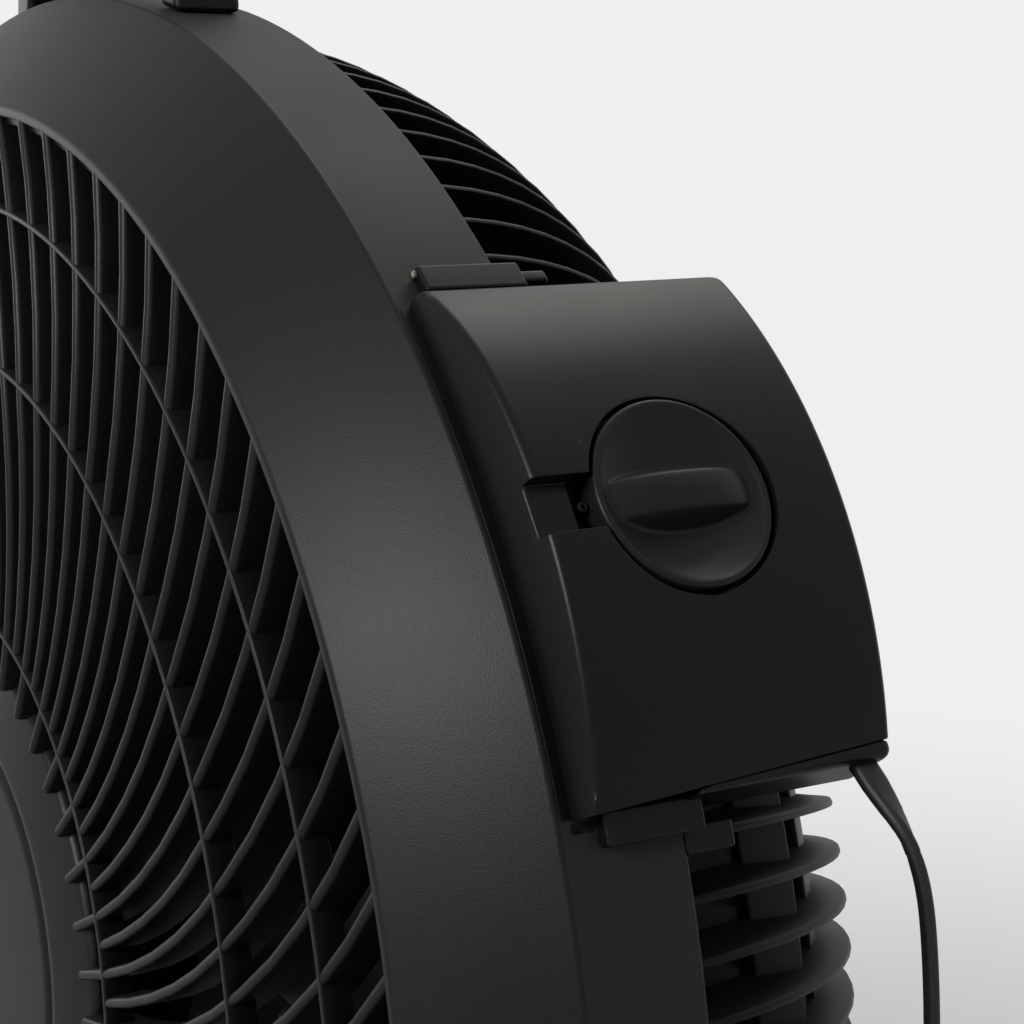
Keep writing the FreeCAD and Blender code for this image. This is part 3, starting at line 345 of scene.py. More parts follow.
# %% Cord line
line = bpy.data.curves.new("cord_line", "CURVE")
line.dimensions = "3D"
line.resolution_u = 5
spline = line.splines.new("NURBS")
spline.points.add(len(route) - 1)
for point, spot in zip(spline.points, route):
    point.co = (*spot, 1)
spline.order_u = 3
spline.use_endpoint_u = True
line_object = bpy.data.objects.new("cord_line", line)
scene.collection.objects.link(line_object)
bpy.context.view_layer.update()
line_mesh = bpy.data.meshes.new_from_object(line_object)
cord_path = [v.co.copy() for v in line_mesh.vertices]
bpy.data.objects.remove(line_object)
cord_length = sum((b - a).length for a, b in zip(cord_path, cord_path[1:]))
print("cord line of", len(cord_path), "points,", round(cord_length, 4), "m")

# %% Cord cover
CORD_WIDTH, CORD_THICK = 0.0058, 0.0034
RING_POINTS, LOBE_REACH, WAIST, WAIST_REACH = 18, 0.2, 0.86, 0.3
TWIST, TWIST_STARTS, TWIST_FULL, TWIST_FADES, TWIST_ENDS = -58, 0.006, 0.026, 0.2, 0.4


def eased_step(value, low, high):
    """Goes from 0 to 1 between two values, slowly at both ends."""
    share = min(max((value - low) / (high - low), 0), 1)
    return share * share * (3 - 2 * share)


def flat_sleeve(path, sizes):
    """A two-lobed cover along a path, with one scale of the cord's section at each of its points."""
    bm = bmesh.new()
    wide, run, loops = Vector((0, 1, 0)), 0.0, []
    for here, (spot, size) in enumerate(zip(path, sizes)):
        way = (path[min(here + 1, len(path) - 1)] - path[max(here - 1, 0)]).normalized()
        run += (spot - path[max(here - 1, 0)]).length
        wide = (wide - way * wide.dot(way)).normalized()
        share = eased_step(run, TWIST_STARTS, TWIST_FULL) - eased_step(run, TWIST_FADES, TWIST_ENDS)
        flat = Matrix.Rotation(math.radians(TWIST) * share, 3, way) @ wide
        loop = bmesh.ops.create_circle(bm, segments=RING_POINTS, radius=CORD_THICK / 2)["verts"]
        for vert in loop:
            side = abs(vert.co.x) / CORD_THICK
            lobe = math.copysign((CORD_WIDTH - CORD_THICK) / 2, vert.co.x) * min(1, side / LOBE_REACH)
            waist = WAIST + (1 - WAIST) * min(1, side / WAIST_REACH)
            vert.co = spot + (flat * (vert.co.x + lobe) + way.cross(flat) * vert.co.y * waist) * size
        loops += list({e for v in loop for e in v.link_edges})
    bmesh.ops.bridge_loops(bm, edges=loops)
    bmesh.ops.holes_fill(bm, edges=[e for e in bm.edges if e.is_boundary], sides=40)
    return outward(bm)


cord = place_piece("mains_cord", flat_sleeve(cord_path, [1.0] * len(cord_path)), None, cord_cover,
                   "cord_drop", "cord_coil")
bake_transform(cord)

# %% [markdown]
# ## The strain relief
# Where the cord leaves the box a soft sleeve keeps it from kinking. It is moulded onto the cord with
# shallow ridges and runs out to the cord's own size, so it is the same cover with larger rings.

# %% Strain relief
RELIEF_ROOT, RELIEF_LENGTH, RELIEF_END, RELIEF_GIRTH, RIDGE = 0.0025, 0.023, 1.01, 0.29, 0.05
root = [MOUTH - (cord_path[1] - cord_path[0]).normalized() * RELIEF_ROOT]
sleeve = root + [p for p in cord_path if (p - MOUTH).length < RELIEF_LENGTH]
last_ring = len(sleeve) - 1
ridges = [RELIEF_END + (RELIEF_GIRTH - RIDGE * (i % 2)) * (1 - i / last_ring) for i in range(len(sleeve))]
relief = place_piece("cord_relief", flat_sleeve(sleeve, ridges), None, cord_cover, "cord_gland", sharp=70)
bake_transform(relief)
print("sleeve of", len(sleeve), "rings")

# %% [markdown]
# ## Turned pieces
# The bezel, the wall, the rings and the knob are all round, so each is an outline spun about its axis.
# Every real moulding has rounded edges, and they are what catches the light. The outline is a flat
# face first, its corners are bevelled there, and only then is it spun.

# %% Frames of the head
AXIS_HEIGHT, WALL_DEPTH, RIM = 325, 32, 280
BOX_ANGLE = 32.9
WALL_FRONT = Matrix.Translation((0, -WALL_DEPTH / 2 * MM, AXIS_HEIGHT * MM))
HEAD = WALL_FRONT @ Matrix.Rotation(math.pi / 2, 4, "X")
BOX = HEAD @ Matrix.Rotation(math.radians(BOX_ANGLE), 4, "Z")
print("axis", AXIS_HEIGHT, "mm above the floor, box at", BOX_ANGLE, "degrees")


# %% Turning tools
def outline(corners):
    """A flat face in the XZ plane from (radius, height, rounding) in millimetres, corners rounded."""
    bm = bmesh.new()
    bm.faces.new([bm.verts.new((x * MM, 0, z * MM)) for x, z, _ in corners])
    for rounding in sorted({c[2] for c in corners} - {0}):
        spots = [Vector((x * MM, 0, z * MM)) for x, z, r in corners if r == rounding]
        chosen = [v for v in bm.verts if any((v.co - s).length < 1e-7 for s in spots)]
        bmesh.ops.bevel(bm, geom=chosen, affect="VERTICES", offset=rounding * MM, segments=4, profile=0.5,
                        material=-1)
    return bm


def turned(corners, steps=192, angle=360.0):
    """Spin a rounded outline about z; a part turn gets closed ends."""
    bm = outline(corners)
    bmesh.ops.delete(bm, geom=bm.faces[:], context="FACES_ONLY")
    bmesh.ops.spin(bm, geom=bm.verts[:] + bm.edges[:], cent=(0, 0, 0), axis=(0, 0, 1),
                   angle=math.radians(angle), steps=steps, use_merge=angle == 360.0)
    bmesh.ops.holes_fill(bm, edges=[e for e in bm.edges if e.is_boundary], sides=0)
    return outward(bm)


def flat_ring(inner, outer, near, far, near_round, far_round, steps):
    """A ring of square section between two radii and two heights."""
    return turned([(inner, near, near_round), (outer, near, near_round),
                   (outer, far, far_round), (inner, far, far_round)], steps)


# %% Shaping tools
def joined(*shapes):
    """Several shapes in one bmesh."""
    mesh = bpy.data.meshes.new("joined")
    bm = bmesh.new()
    for shape in shapes:
        shape.to_mesh(mesh)
        bm.from_mesh(mesh)
        shape.free()
    bpy.data.meshes.remove(mesh)
    return bm


def swung(bm, degrees):
    """Turn a shape about z."""
    bmesh.ops.rotate(bm, verts=bm.verts, matrix=Matrix.Rotation(math.radians(degrees), 3, "Z"))
    return bm


def repeated(bm, count):
    """Repeat a shape evenly round z."""
    bmesh.ops.spin(bm, geom=bm.verts[:] + bm.edges[:] + bm.faces[:], cent=(0, 0, 0), axis=(0, 0, 1),
                   angle=2 * math.pi * (count - 1) / count, steps=count - 1, use_duplicate=True)
    bmesh.ops.recalc_face_normals(bm, faces=bm.faces)
    return bm


def round_edges(bm, edges, width, segments):
    """Round some edges by a width in millimetres."""
    bmesh.ops.bevel(bm, geom=edges, affect="EDGES", offset=width * MM, segments=segments, profile=0.5,
                    material=-1)
    return bm


def eased(bm, width, segments=3, limit=35):
    """Round every edge that is sharper than the limit."""
    sharp = [e for e in bm.edges if e.is_manifold and e.calc_face_angle() > math.radians(limit)]
    return round_edges(bm, sharp, width, segments)


# %% [markdown]
# ## Carving
# In a real mould a core keeps the plastic out of every slot, pocket and recess. Here the core is a
# shape of its own, and an exact Boolean cuts it out of the piece.


# %% Carving tools
def loose_object(bm):
    """An object that only lives while something is carved."""
    mesh = bpy.data.meshes.new("loose")
    bm.to_mesh(mesh)
    bm.free()
    made = bpy.data.objects.new("loose", mesh)
    scene.collection.objects.link(made)
    return made


def carved(bm, *tools):
    """Cut the tools' shapes out of a shape."""
    shape = loose_object(bm)
    cutters = [loose_object(tool) for tool in tools]
    for cutter in cutters:
        cut = shape.modifiers.new("carve", "BOOLEAN")
        cut.operation, cut.solver, cut.object = "DIFFERENCE", "EXACT", cutter
    bpy.context.view_layer.update()
    result = bpy.data.meshes.new_from_object(shape.evaluated_get(bpy.context.evaluated_depsgraph_get()))
    made = bmesh.new()
    made.from_mesh(result)
    for gone in [shape] + cutters:
        bpy.data.objects.remove(gone)
    return made


def block(low, high):
    """A box between two corners, in millimetres."""
    bm = bmesh.new()
    bmesh.ops.create_cube(bm, size=1)
    low, high = Vector(low) * MM, Vector(high) * MM
    bmesh.ops.scale(bm, vec=high - low, verts=bm.verts)
    bmesh.ops.translate(bm, vec=(low + high) / 2, verts=bm.verts)
    return bm


# %% [markdown]
# ## The drum wall and the bezel
# The wall is a narrow moulded band round the blade, with a flange at its rear. The bezel is a cone
# that sits on the wall's front edge with a short skirt inside it. Both are spun outlines, and a small
# blind slot beside the lower clip is carved out of the wall.

# %% Drum wall
ROUND_STEPS = 256
SKIN, FLANGE_RADIUS = 2.6, 260
SLOT_TURN, SLOT_HALF, SLOT_FRONT, SLOT_BACK, SLOT_DEPTH = 19.45, 1.3, 2.6, 9.5, 1.7
wall_inside = RIM - SKIN
flange_front = SKIN - WALL_DEPTH
wall = turned([
    (wall_inside, 0, 0.3), (RIM, 0, 0), (RIM, -WALL_DEPTH, 1.6), (FLANGE_RADIUS, -WALL_DEPTH, 0.8),
    (FLANGE_RADIUS, flange_front, 0.5), (wall_inside, flange_front, 0.8)], ROUND_STEPS)
slot = block((RIM - SLOT_DEPTH, -SLOT_HALF, -SLOT_BACK), (RIM + 1, SLOT_HALF, -SLOT_FRONT))
wall = carved(wall, swung(slot, SLOT_TURN))
place_piece("drum_wall", wall, "head", drum_satin, "drum_shroud", at=HEAD, even=True)

# %% Bezel
BEZEL_EDGE, BEZEL_CREST, BEZEL_INNER, BEZEL_HEIGHT = 0.9, 248.6, 246, 30
CREST_FOOT, CONE_TOP, CONE_FOOT = 21, 26.6, 3.8
SKIRT_INNER, SKIRT_OUTER, SKIRT_DEPTH = 274.6, 277.25, 7
bezel = turned([
    (RIM, 0, 0), (RIM, BEZEL_EDGE, 0.7), (BEZEL_CREST, BEZEL_HEIGHT, 0.9), (BEZEL_INNER, BEZEL_HEIGHT, 0.6),
    (BEZEL_INNER, CREST_FOOT, 0.4), (BEZEL_CREST, CREST_FOOT, 0.3), (BEZEL_CREST, CONE_TOP, 0.6),
    (SKIRT_INNER, CONE_FOOT, 0.8), (SKIRT_INNER, -SKIRT_DEPTH, 0.4), (SKIRT_OUTER, -SKIRT_DEPTH, 0.4),
    (SKIRT_OUTER, 0, 0)], ROUND_STEPS)
place_piece("bezel", bezel, "head", bezel_grain, "front_bezel", at=HEAD)

# %% [markdown]
# ## The louvred front grille
# Eighty-four thin vanes sweep round from the centre disc to the bezel, with three rings across them.
# Only every second vane goes on inside the inmost ring. All vanes are alike, so one is drawn: two arcs
# side by side, bridged to a crest, drawn down to depth and rounded on top. A spin then repeats it.

# %% Vane
VANES, VANE_THICK, VANE_DEPTH, VANE_STEPS, VANE_ROUNDING = 84, 3.0, 12, 10, 1.46
SWEEP_RADIUS, SWEEP_CENTRE, SWEEP_PHASE = 183.3, 194.5, 86.69
INNER_RING, MIDDLE_RING, OUTER_RING = 103.6, 177.5, 220.4
CREST = [
    (66, 42.4), (INNER_RING, 40.3), (MIDDLE_RING, 37.8), (OUTER_RING, 33.3), (BEZEL_INNER, BEZEL_HEIGHT)]


def crest_height(radius):
    """Height of the grille's dome at a radius."""
    for (inner, low), (outer, high) in zip(CREST, CREST[1:]):
        if radius <= outer:
            return low + (high - low) * (radius - inner) / (outer - inner)
    return CREST[-1][1]


def vane_spot(radius, side, turn):
    """A point on one side of a vane's crest, in millimetres."""
    bow = SWEEP_RADIUS + side * VANE_THICK / 2
    lean = math.acos((radius ** 2 + SWEEP_CENTRE ** 2 - bow ** 2) / (2 * radius * SWEEP_CENTRE))
    angle = math.radians(SWEEP_PHASE + turn) - lean
    return Vector((radius * math.cos(angle), radius * math.sin(angle), crest_height(radius)))


def crest_strip(left, right):
    """Bridge two rows of points to a strip, and give its long edges."""
    bm = bmesh.new()
    rows = []
    for row in (left, right):
        verts = [bm.verts.new(p * MM) for p in row]
        rows.append([bm.edges.new(pair) for pair in zip(verts, verts[1:])])
    bmesh.ops.bridge_loops(bm, edges=rows[0] + rows[1])
    return bm, rows[0] + rows[1]


def vane_ring(inner, outer, first, every):
    """All the vanes that run between two radii."""
    radii = [inner + (outer - inner) * i / VANE_STEPS for i in range(VANE_STEPS + 1)]
    turn = first * 360 / VANES
    bm, crest = crest_strip([vane_spot(r, -1, turn) for r in radii], [vane_spot(r, 1, turn) for r in radii])
    deep = bmesh.ops.extrude_face_region(bm, geom=bm.faces[:])["geom"]
    deep = [g for g in deep if isinstance(g, bmesh.types.BMVert)]
    bmesh.ops.translate(bm, vec=(0, 0, -VANE_DEPTH * MM), verts=deep)
    round_edges(bm, crest, VANE_ROUNDING, 4)
    return repeated(bm, VANES // every)


# %% Front grille
VANE_INNER, VANE_OUTER = 88.5, 246.9
RING_LIFT, RING_HALF, RING_DEPTH = 0.1, 0.75, 8
HUB_RADIUS, HUB_INSIDE, SEAT_RADIUS, SEAT_HEIGHT, PLATE_FOOT = 89.6, 87.3, 68.75, 39.4, 36.4


def grille_ring(radius):
    """A ring flush with the vanes' crests."""
    top = crest_height(radius) + RING_LIFT
    return flat_ring(radius - RING_HALF, radius + RING_HALF, top, top - RING_DEPTH, 0.5, 0.3, 168)


hub = turned([
    (70.75, 42, 0.8), (HUB_RADIUS, 37.4, 2.2), (HUB_RADIUS, 28.3, 0.4), (HUB_INSIDE, 28.3, 0.4),
    (HUB_INSIDE, 33.4, 0.6), (66, PLATE_FOOT, 0), (0, PLATE_FOOT, 0), (0, SEAT_HEIGHT, 0),
    (SEAT_RADIUS, SEAT_HEIGHT, 0.2), (SEAT_RADIUS, 42, 0.4)], 128)
rim_ring = flat_ring(inner=243.8, outer=245.85, near=27.8, far=18, near_round=0.3, far_round=0.3, steps=192)
grille = joined(
    vane_ring(VANE_INNER, VANE_OUTER, 0, 2), vane_ring(INNER_RING, VANE_OUTER, 1, 2), hub, rim_ring,
    grille_ring(INNER_RING), grille_ring(MIDDLE_RING), grille_ring(OUTER_RING))
place_piece("louvre_grille", grille, "head", louvre_black, "front_grille", at=HEAD)

# %% [markdown]
# ## The centre disc
# A plain domed disc is pressed into the seat of the grille's hub. It is one more spun outline.

# %% Centre disc
DISC_RADIUS = 68.6
badge = turned([
    (0, SEAT_HEIGHT, 0), (DISC_RADIUS, SEAT_HEIGHT, 0), (DISC_RADIUS, 40.8, 0.5), (65.6, 42.6, 1.5),
    (30, 43.1, 4), (0, 43.2, 0)], 128)
place_piece("centre_disc", badge, "head", badge_black, "hub_badge", at=HEAD)

# %% [markdown]
# ## The ribbed rear basket
# Behind the wall the drum ends in a basket of ribs that turn inwards over a round shoulder to the back
# plate, and every second rib stops at a band on the back. A rib is made as a vane is, except that it
# is drawn inwards from its crest: deep and slanting on the shoulder, plain on the back. A flange, two
# hoops and a deep ring inside hold the ribs, and each of these is a spun outline.

# %% Ribs
RIBS, RIB_THICK, RIB_DEPTH, RIB_SHOULDER_DEPTH, RIB_SLANT, RIB_ROUNDING = 120, 2.2, 8, 14, 15, 0.85
REAR_RADIUS, SHOULDER, BACK = 271.6, 100.8, -132.8
PLAIN_FROM, PLAIN_OVER = 0.9, 0.6


def rib_step(spot):
    """How far a point of a rib's crest is drawn: deep and slanting on the shoulder, plain on the back."""
    out, back = spot.x - (REAR_RADIUS - SHOULDER) * MM, -spot.z - WALL_DEPTH * MM
    turn = math.atan2(back, max(out, 0))
    plain = min(max((turn - PLAIN_FROM) / PLAIN_OVER, 0), 1)
    depth = (RIB_DEPTH + (RIB_SHOULDER_DEPTH - RIB_DEPTH) * (1 - plain)) * MM
    slant = math.radians(RIB_SLANT) * (1 - plain)
    level = math.cos(slant)
    return Vector((-math.cos(turn) * level, math.sin(slant), math.sin(turn) * level)) * depth


def rib_ring(inner, first, every):
    """All the ribs that run from the wall to one radius on the back."""
    bends = [math.radians(a) for a in range(0, 91, 5)]
    crest = [(REAR_RADIUS - SHOULDER * (1 - math.cos(a)), -WALL_DEPTH - SHOULDER * math.sin(a))
             for a in bends]
    crest.append((inner, BACK))
    sides = [[Vector((r, side * RIB_THICK / 2, z)) for r, z in crest] for side in (-1, 1)]
    bm, edges = crest_strip(*sides)
    deep = bmesh.ops.extrude_face_region(bm, geom=bm.faces[:])["geom"]
    for vert in [g for g in deep if isinstance(g, bmesh.types.BMVert)]:
        vert.co += rib_step(vert.co)
    round_edges(bm, edges, RIB_ROUNDING, 2)
    return repeated(swung(bm, first * 360 / RIBS), RIBS // every)


# %% Rear basket
BACK_INSIDE = -124.8
front_flange = flat_ring(inner=263.6, outer=REAR_RADIUS, near=-32.05, far=-35,
                         near_round=0.3, far_round=0.5, steps=192)
front_hoop = turned([(251, -64, 0.8), (255, -64, 0.8), (253, -80, 0.8), (249, -80, 0.8)], 192)
rear_hoop = turned([(240.4, -92.6, 0.6), (232.6, -100.6, 0.6), (230.6, -98.4, 0.6), (238.2, -90.6, 0.6)], 192)
band = flat_ring(inner=165.5, outer=170.5, near=BACK, far=BACK_INSIDE, near_round=1, far_round=0.5, steps=168)
deep_ring = flat_ring(inner=166.6, outer=168.8, near=-90, far=-126, near_round=0.5, far_round=0.3, steps=168)
plate = turned([(12, BACK, 0.8), (66, BACK, 1.2), (66, BACK_INSIDE, 0.8), (12, BACK_INSIDE, 0.8)], 96)
basket = joined(rib_ring(65, 0, 2), rib_ring(168, 1, 2), front_flange, front_hoop, rear_hoop, band,
                deep_ring, plate)
place_piece("rear_basket", basket, "head", basket_black, "rear_grille", at=HEAD)

# %% [markdown]
# ## The control box
# The box sits astride the wall like a saddle. Its moulded cover is crowned along the drum and dips at
# its upper front corner, so it starts as two spun arcs, front and rear, that are bridged to a sheet.
# The sheet is drawn down to the drum, and its upper rear corner and its brim are rounded. Then the round
# recess of the knob, the pocket in front of it and a step in the pocket are carved, and the new edges
# are eased. A peg stands in the pocket, and a thin lip closes the joint at the front foot.

# %% Sizes of the box
BOX_FRONT, BOX_REAR, BOX_CROWN, BOX_END, BOX_SEAM = 3.2, 86, 298.6, 290, 282.75
BOX_HALF_SPAN, BRIM_DRAFT, KNOB_BACK, KNOB_RADIUS = 12.85, 0.5, 42, 23.3
FRONT_ZONE, REAR_ZONE = 4, 80
end_x = BOX_END * math.cos(math.radians(BOX_HALF_SPAN))
end_y = BOX_END * math.sin(math.radians(BOX_HALF_SPAN))
crown_radius = (end_y ** 2 + (BOX_CROWN - end_x) ** 2) / (2 * (BOX_CROWN - end_x))
middle = Vector(((BOX_CROWN - crown_radius) * MM, 0, 0))
print("crown of", round(crown_radius, 1), "mm radius")

# %% Crowned sheet
FRONT_LOW, FRONT_HIGH, REAR_LOW, REAR_HIGH = end_y + 0.9, end_y + 0.1, end_y - 3.8, end_y - 2.0
ARC_MARGIN, ARC_STEPS, RULING_CUTS = 5, 44, 7
DIP, DIP_FROM = 4.2, 34


def crown_arc(bm, back, low, high):
    """Edges of one arc of the crown, so far back, with a short step at each end."""
    start, last = -math.asin(low / crown_radius), math.asin(high / crown_radius)
    spot = bm.verts.new(middle + Vector((math.cos(start), math.sin(start), 0)) * crown_radius * MM)
    spot.co.z = -back * MM
    before = set(bm.edges)
    margin = ARC_MARGIN / crown_radius
    for turn, steps in ((margin, 1), (last - start - 2 * margin, ARC_STEPS), (margin, 1)):
        spun = bmesh.ops.spin(bm, geom=[spot], cent=middle, axis=(0, 0, 1), angle=turn, steps=steps)
        spot = next(g for g in spun["geom_last"] if isinstance(g, bmesh.types.BMVert))
    return [e for e in bm.edges if e not in before]


sheet = bmesh.new()
arcs = crown_arc(sheet, BOX_FRONT, FRONT_LOW, FRONT_HIGH)
arcs += crown_arc(sheet, BOX_REAR, REAR_LOW, REAR_HIGH)
bmesh.ops.remove_doubles(sheet, verts=sheet.verts, dist=1e-6)
for vert in sheet.verts:
    if vert.co.z > -FRONT_ZONE * MM and vert.co.y > DIP_FROM * MM:
        vert.co.x -= DIP * MM * ((vert.co.y / MM - DIP_FROM) / (end_y - DIP_FROM)) ** 2
bmesh.ops.bridge_loops(sheet, edges=[e for e in arcs if e.is_valid])
across = [e for e in sheet.edges if abs(e.verts[0].co.z - e.verts[1].co.z) > BOX_REAR / 2 * MM]
bmesh.ops.subdivide_edges(sheet, edges=across, cuts=RULING_CUTS)
print("sheet of", len(sheet.faces), "faces")

# %% Sides of the cover
CORNER_ROUNDING, BRIM_ROUNDING, SQUARE_END, FOOT_GAP = 3, 2.2, 59.5, 0.3
corners = [v for v in sheet.verts if len(v.link_edges) == 2 and v.co.z < -REAR_ZONE * MM and v.co.y > 0]
bmesh.ops.bevel(sheet, geom=corners, affect="VERTICES", offset=CORNER_ROUNDING * MM, segments=4, profile=0.5,
                material=-1)
brim = [e for e in sheet.edges if e.is_boundary and max(v.co.y for v in e.verts) > -SQUARE_END * MM]
lower = bmesh.ops.extrude_face_region(sheet, geom=sheet.faces[:])["geom"]
for vert in [g for g in lower if isinstance(g, bmesh.types.BMVert)]:
    foot = BOX_SEAM
    if vert.co.z > -FRONT_ZONE * MM:
        foot = RIM + FOOT_GAP
        vert.co.z += BRIM_DRAFT * MM
    vert.co.y *= BOX_SEAM / BOX_END
    vert.co.x = math.sqrt((foot * MM) ** 2 - vert.co.y ** 2)
round_edges(outward(sheet), brim, BRIM_ROUNDING, 4)
print("sides down to the drum,", len(sheet.faces), "faces with the rounded brim")

# %% Recess and pocket
RECESS_DEPTH, RECESS_GAP, CLEAR = 9, 1.1, 9
POCKET_DEPTH, STEP_DEPTH, POCKET_HALF, STEP_FRONT = 4.5, 8, 6.5, 14.2
SILL_HALF, SILL_ROUNDING, EDGE_ROUNDING = 7, 1.1, 0.4
OUTWARD_Z = Matrix.Rotation(math.radians(120), 4, Vector((1, 1, 1)))
recess = flat_ring(0, KNOB_RADIUS + RECESS_GAP, BOX_CROWN - RECESS_DEPTH, BOX_CROWN + CLEAR, 0, 0, 96)
recess_place = Matrix.Translation((0, 0, -KNOB_BACK * MM)) @ OUTWARD_Z
bmesh.ops.transform(recess, matrix=recess_place, verts=recess.verts)
pocket = block((BOX_CROWN - POCKET_DEPTH, -POCKET_HALF, -KNOB_BACK), (BOX_CROWN + CLEAR, POCKET_HALF, CLEAR))
step = block((BOX_CROWN - STEP_DEPTH, -POCKET_HALF, -KNOB_BACK), (BOX_CROWN, POCKET_HALF, -STEP_FRONT))
cover = carved(sheet, recess, pocket, step)


def on_sill(spot):
    """Whether a point lies on the pocket's floor at the front of the box."""
    level = abs(spot.x - (BOX_CROWN - POCKET_DEPTH) * MM) < 1e-5
    return level and spot.z > -FRONT_ZONE * MM and abs(spot.y) < SILL_HALF * MM


sill = [e for e in cover.edges if all(on_sill(v.co) for v in e.verts)]
round_edges(cover, sill, SILL_ROUNDING, 4)
eased(cover, EDGE_ROUNDING, 2, 50)
print("sill of", len(sill), "edges")

# %% Peg, lip and cover
PEG_BORE, PEG_RADIUS, PEG_FOOT, PEG_TOP = 0.5, 1.3, BOX_CROWN - 8.2, BOX_CROWN - 4.6
PEG_PLACE = Matrix.Translation((0, 0.0003, -0.0171))
LIP_START, LIP_SPAN = -13.0, 25.8
LIP_INNER, LIP_OUTER, LIP_FRONT, LIP_BACK = RIM + 0.05, RIM + 0.35, -0.2, -3.4
peg = turned([(PEG_BORE, PEG_FOOT, 0), (PEG_RADIUS, PEG_FOOT, 0), (PEG_RADIUS, PEG_TOP, 0.3),
              (PEG_BORE, PEG_TOP, 0.2)], 24)
bmesh.ops.transform(peg, matrix=PEG_PLACE @ OUTWARD_Z, verts=peg.verts)
lip = turned([(LIP_INNER, LIP_FRONT, 0), (LIP_OUTER, LIP_FRONT, 0.1), (LIP_OUTER, LIP_BACK, 0),
              (LIP_INNER, LIP_BACK, 0)], 48, LIP_SPAN)
shell = joined(cover, peg, swung(lip, LIP_START))
place_piece("box_cover", shell, "head", satin_shell, "control_cover", at=BOX, even=True)

# %% [markdown]
# ## The speed knob
# The knob is a low moulded disc. Its face is a dish with a thin rim, and an arched grip bar crosses the
# dish and falls off at both ends. The face is a spun sheet of many rings, cut along the flanks of the
# bar, so that its points can be sunk to depth. Where bar and dish meet, a smooth minimum of the two
# depths stands for the small fillet of the mould.

# %% Face of the knob
KNOB_TOP, GRIP_HALF, DISH, ARCH, END_FALL, BAR_HALF = 8.4, 4.4, 5.2, 2.6, 3.9, 18.5
BAR_SLOPE, BAR_CROWN, END_POWER, SOFT = 0.95, 0.4, 2.8, 0.5
DISH_INSET, RIM_INSET, RIM_WIDTH, RIM_STEP = 1.7, 1.4, 0.7, 0.45


def face_depth(spot):
    """How deep a point of the knob's face lies: a dish with a rim, and an arched bar across it."""
    aside, along, radius = abs(spot.x) / MM - GRIP_HALF, abs(spot.y) / MM, spot.xy.length / MM
    flank = (aside + math.hypot(aside, SOFT)) * BAR_SLOPE + BAR_CROWN * (1 + aside / GRIP_HALF) ** 2
    dish = DISH * max(0.0, 1 - (radius / (KNOB_RADIUS - DISH_INSET)) ** 2)
    edge = min(max((KNOB_RADIUS - RIM_INSET - radius) / RIM_WIDTH, 0), 1) * RIM_STEP
    arch = ARCH - END_FALL * (along / BAR_HALF) ** END_POWER
    bar, bowl = flank - arch, dish + edge
    return (bar + bowl - math.hypot(bar - bowl, SOFT)) / 2


# %% Knob
KNOB_FOOT, BORE_RADIUS, BORE_TOP = 0.6, 3.03, 7
FACE_INSET, FACE_STEP, FACE_RINGS = 1.0, 0.37, 60
FLANK_LINES = (-0.4, 0, 0.3, 0.8)
knob_place = Matrix.Translation(((BOX_CROWN - RECESS_DEPTH) * MM, 0, -KNOB_BACK * MM))
KNOB = BOX @ knob_place @ OUTWARD_Z
rings = [(KNOB_RADIUS - FACE_INSET - FACE_STEP * i, KNOB_TOP, 0) for i in range(1, FACE_RINGS)]
knob = turned(
    [(BORE_RADIUS, KNOB_FOOT, 0), (KNOB_RADIUS, KNOB_FOOT, 0.4), (KNOB_RADIUS, KNOB_TOP, 0.9)] + rings
    + [(0, KNOB_TOP, 0), (0, BORE_TOP, 0), (BORE_RADIUS, BORE_TOP, 0)], 160)
for line_at in FLANK_LINES:
    for side in (-1, 1):
        bmesh.ops.bisect_plane(knob, geom=knob.verts[:] + knob.edges[:] + knob.faces[:],
                               plane_co=(side * (GRIP_HALF + line_at) * MM, 0, 0), plane_no=(1, 0, 0))
for vert in knob.verts:
    if vert.co.z > (KNOB_TOP - 0.01) * MM:
        vert.co.z -= face_depth(vert.co) * MM
place_piece("knob", outward(knob), "knob", knob_black, "speed_knob", at=KNOB, sharp=60)

# %% [markdown]
# ## Clip bars
# A bar beside each end of the box locks it to the wall, and a small lug stands behind it on the wall's
# rear edge. The upper bar also shows the end of its steel pin. Bars and lugs are blocks with rounded
# edges, swung round the drum to their places.

# %% Clips
CLIP_FOOT, CLIP_TOP, CLIP_HALF, CLIP_BACK = RIM + 0.1, RIM + 4.3, 4, -35
LUG_FOOT, LUG_TOP, LUG_FRONT, LUG_BACK = RIM - 7, RIM + 0.2, -31.5, -45
PIN_RADIUS, PIN_BACK, PIN_FRONT, PIN_OUT, PIN_TURN = 1.2, -7.6, -5.8, RIM + 2, 47.5


def clip_set(name, node, front, bar_turn, lug_turn, lug_half):
    """Bar and lug beside one end of the box, at their angles round the drum."""
    bar = swung(block((CLIP_FOOT, -CLIP_HALF, CLIP_BACK), (CLIP_TOP, CLIP_HALF, front)), bar_turn)
    lug = swung(block((LUG_FOOT, -lug_half, LUG_BACK), (LUG_TOP, lug_half, LUG_FRONT)), lug_turn)
    place_piece(name, eased(joined(bar, lug), 0.9, 3), "head", satin_shell, node, at=HEAD, even=True)


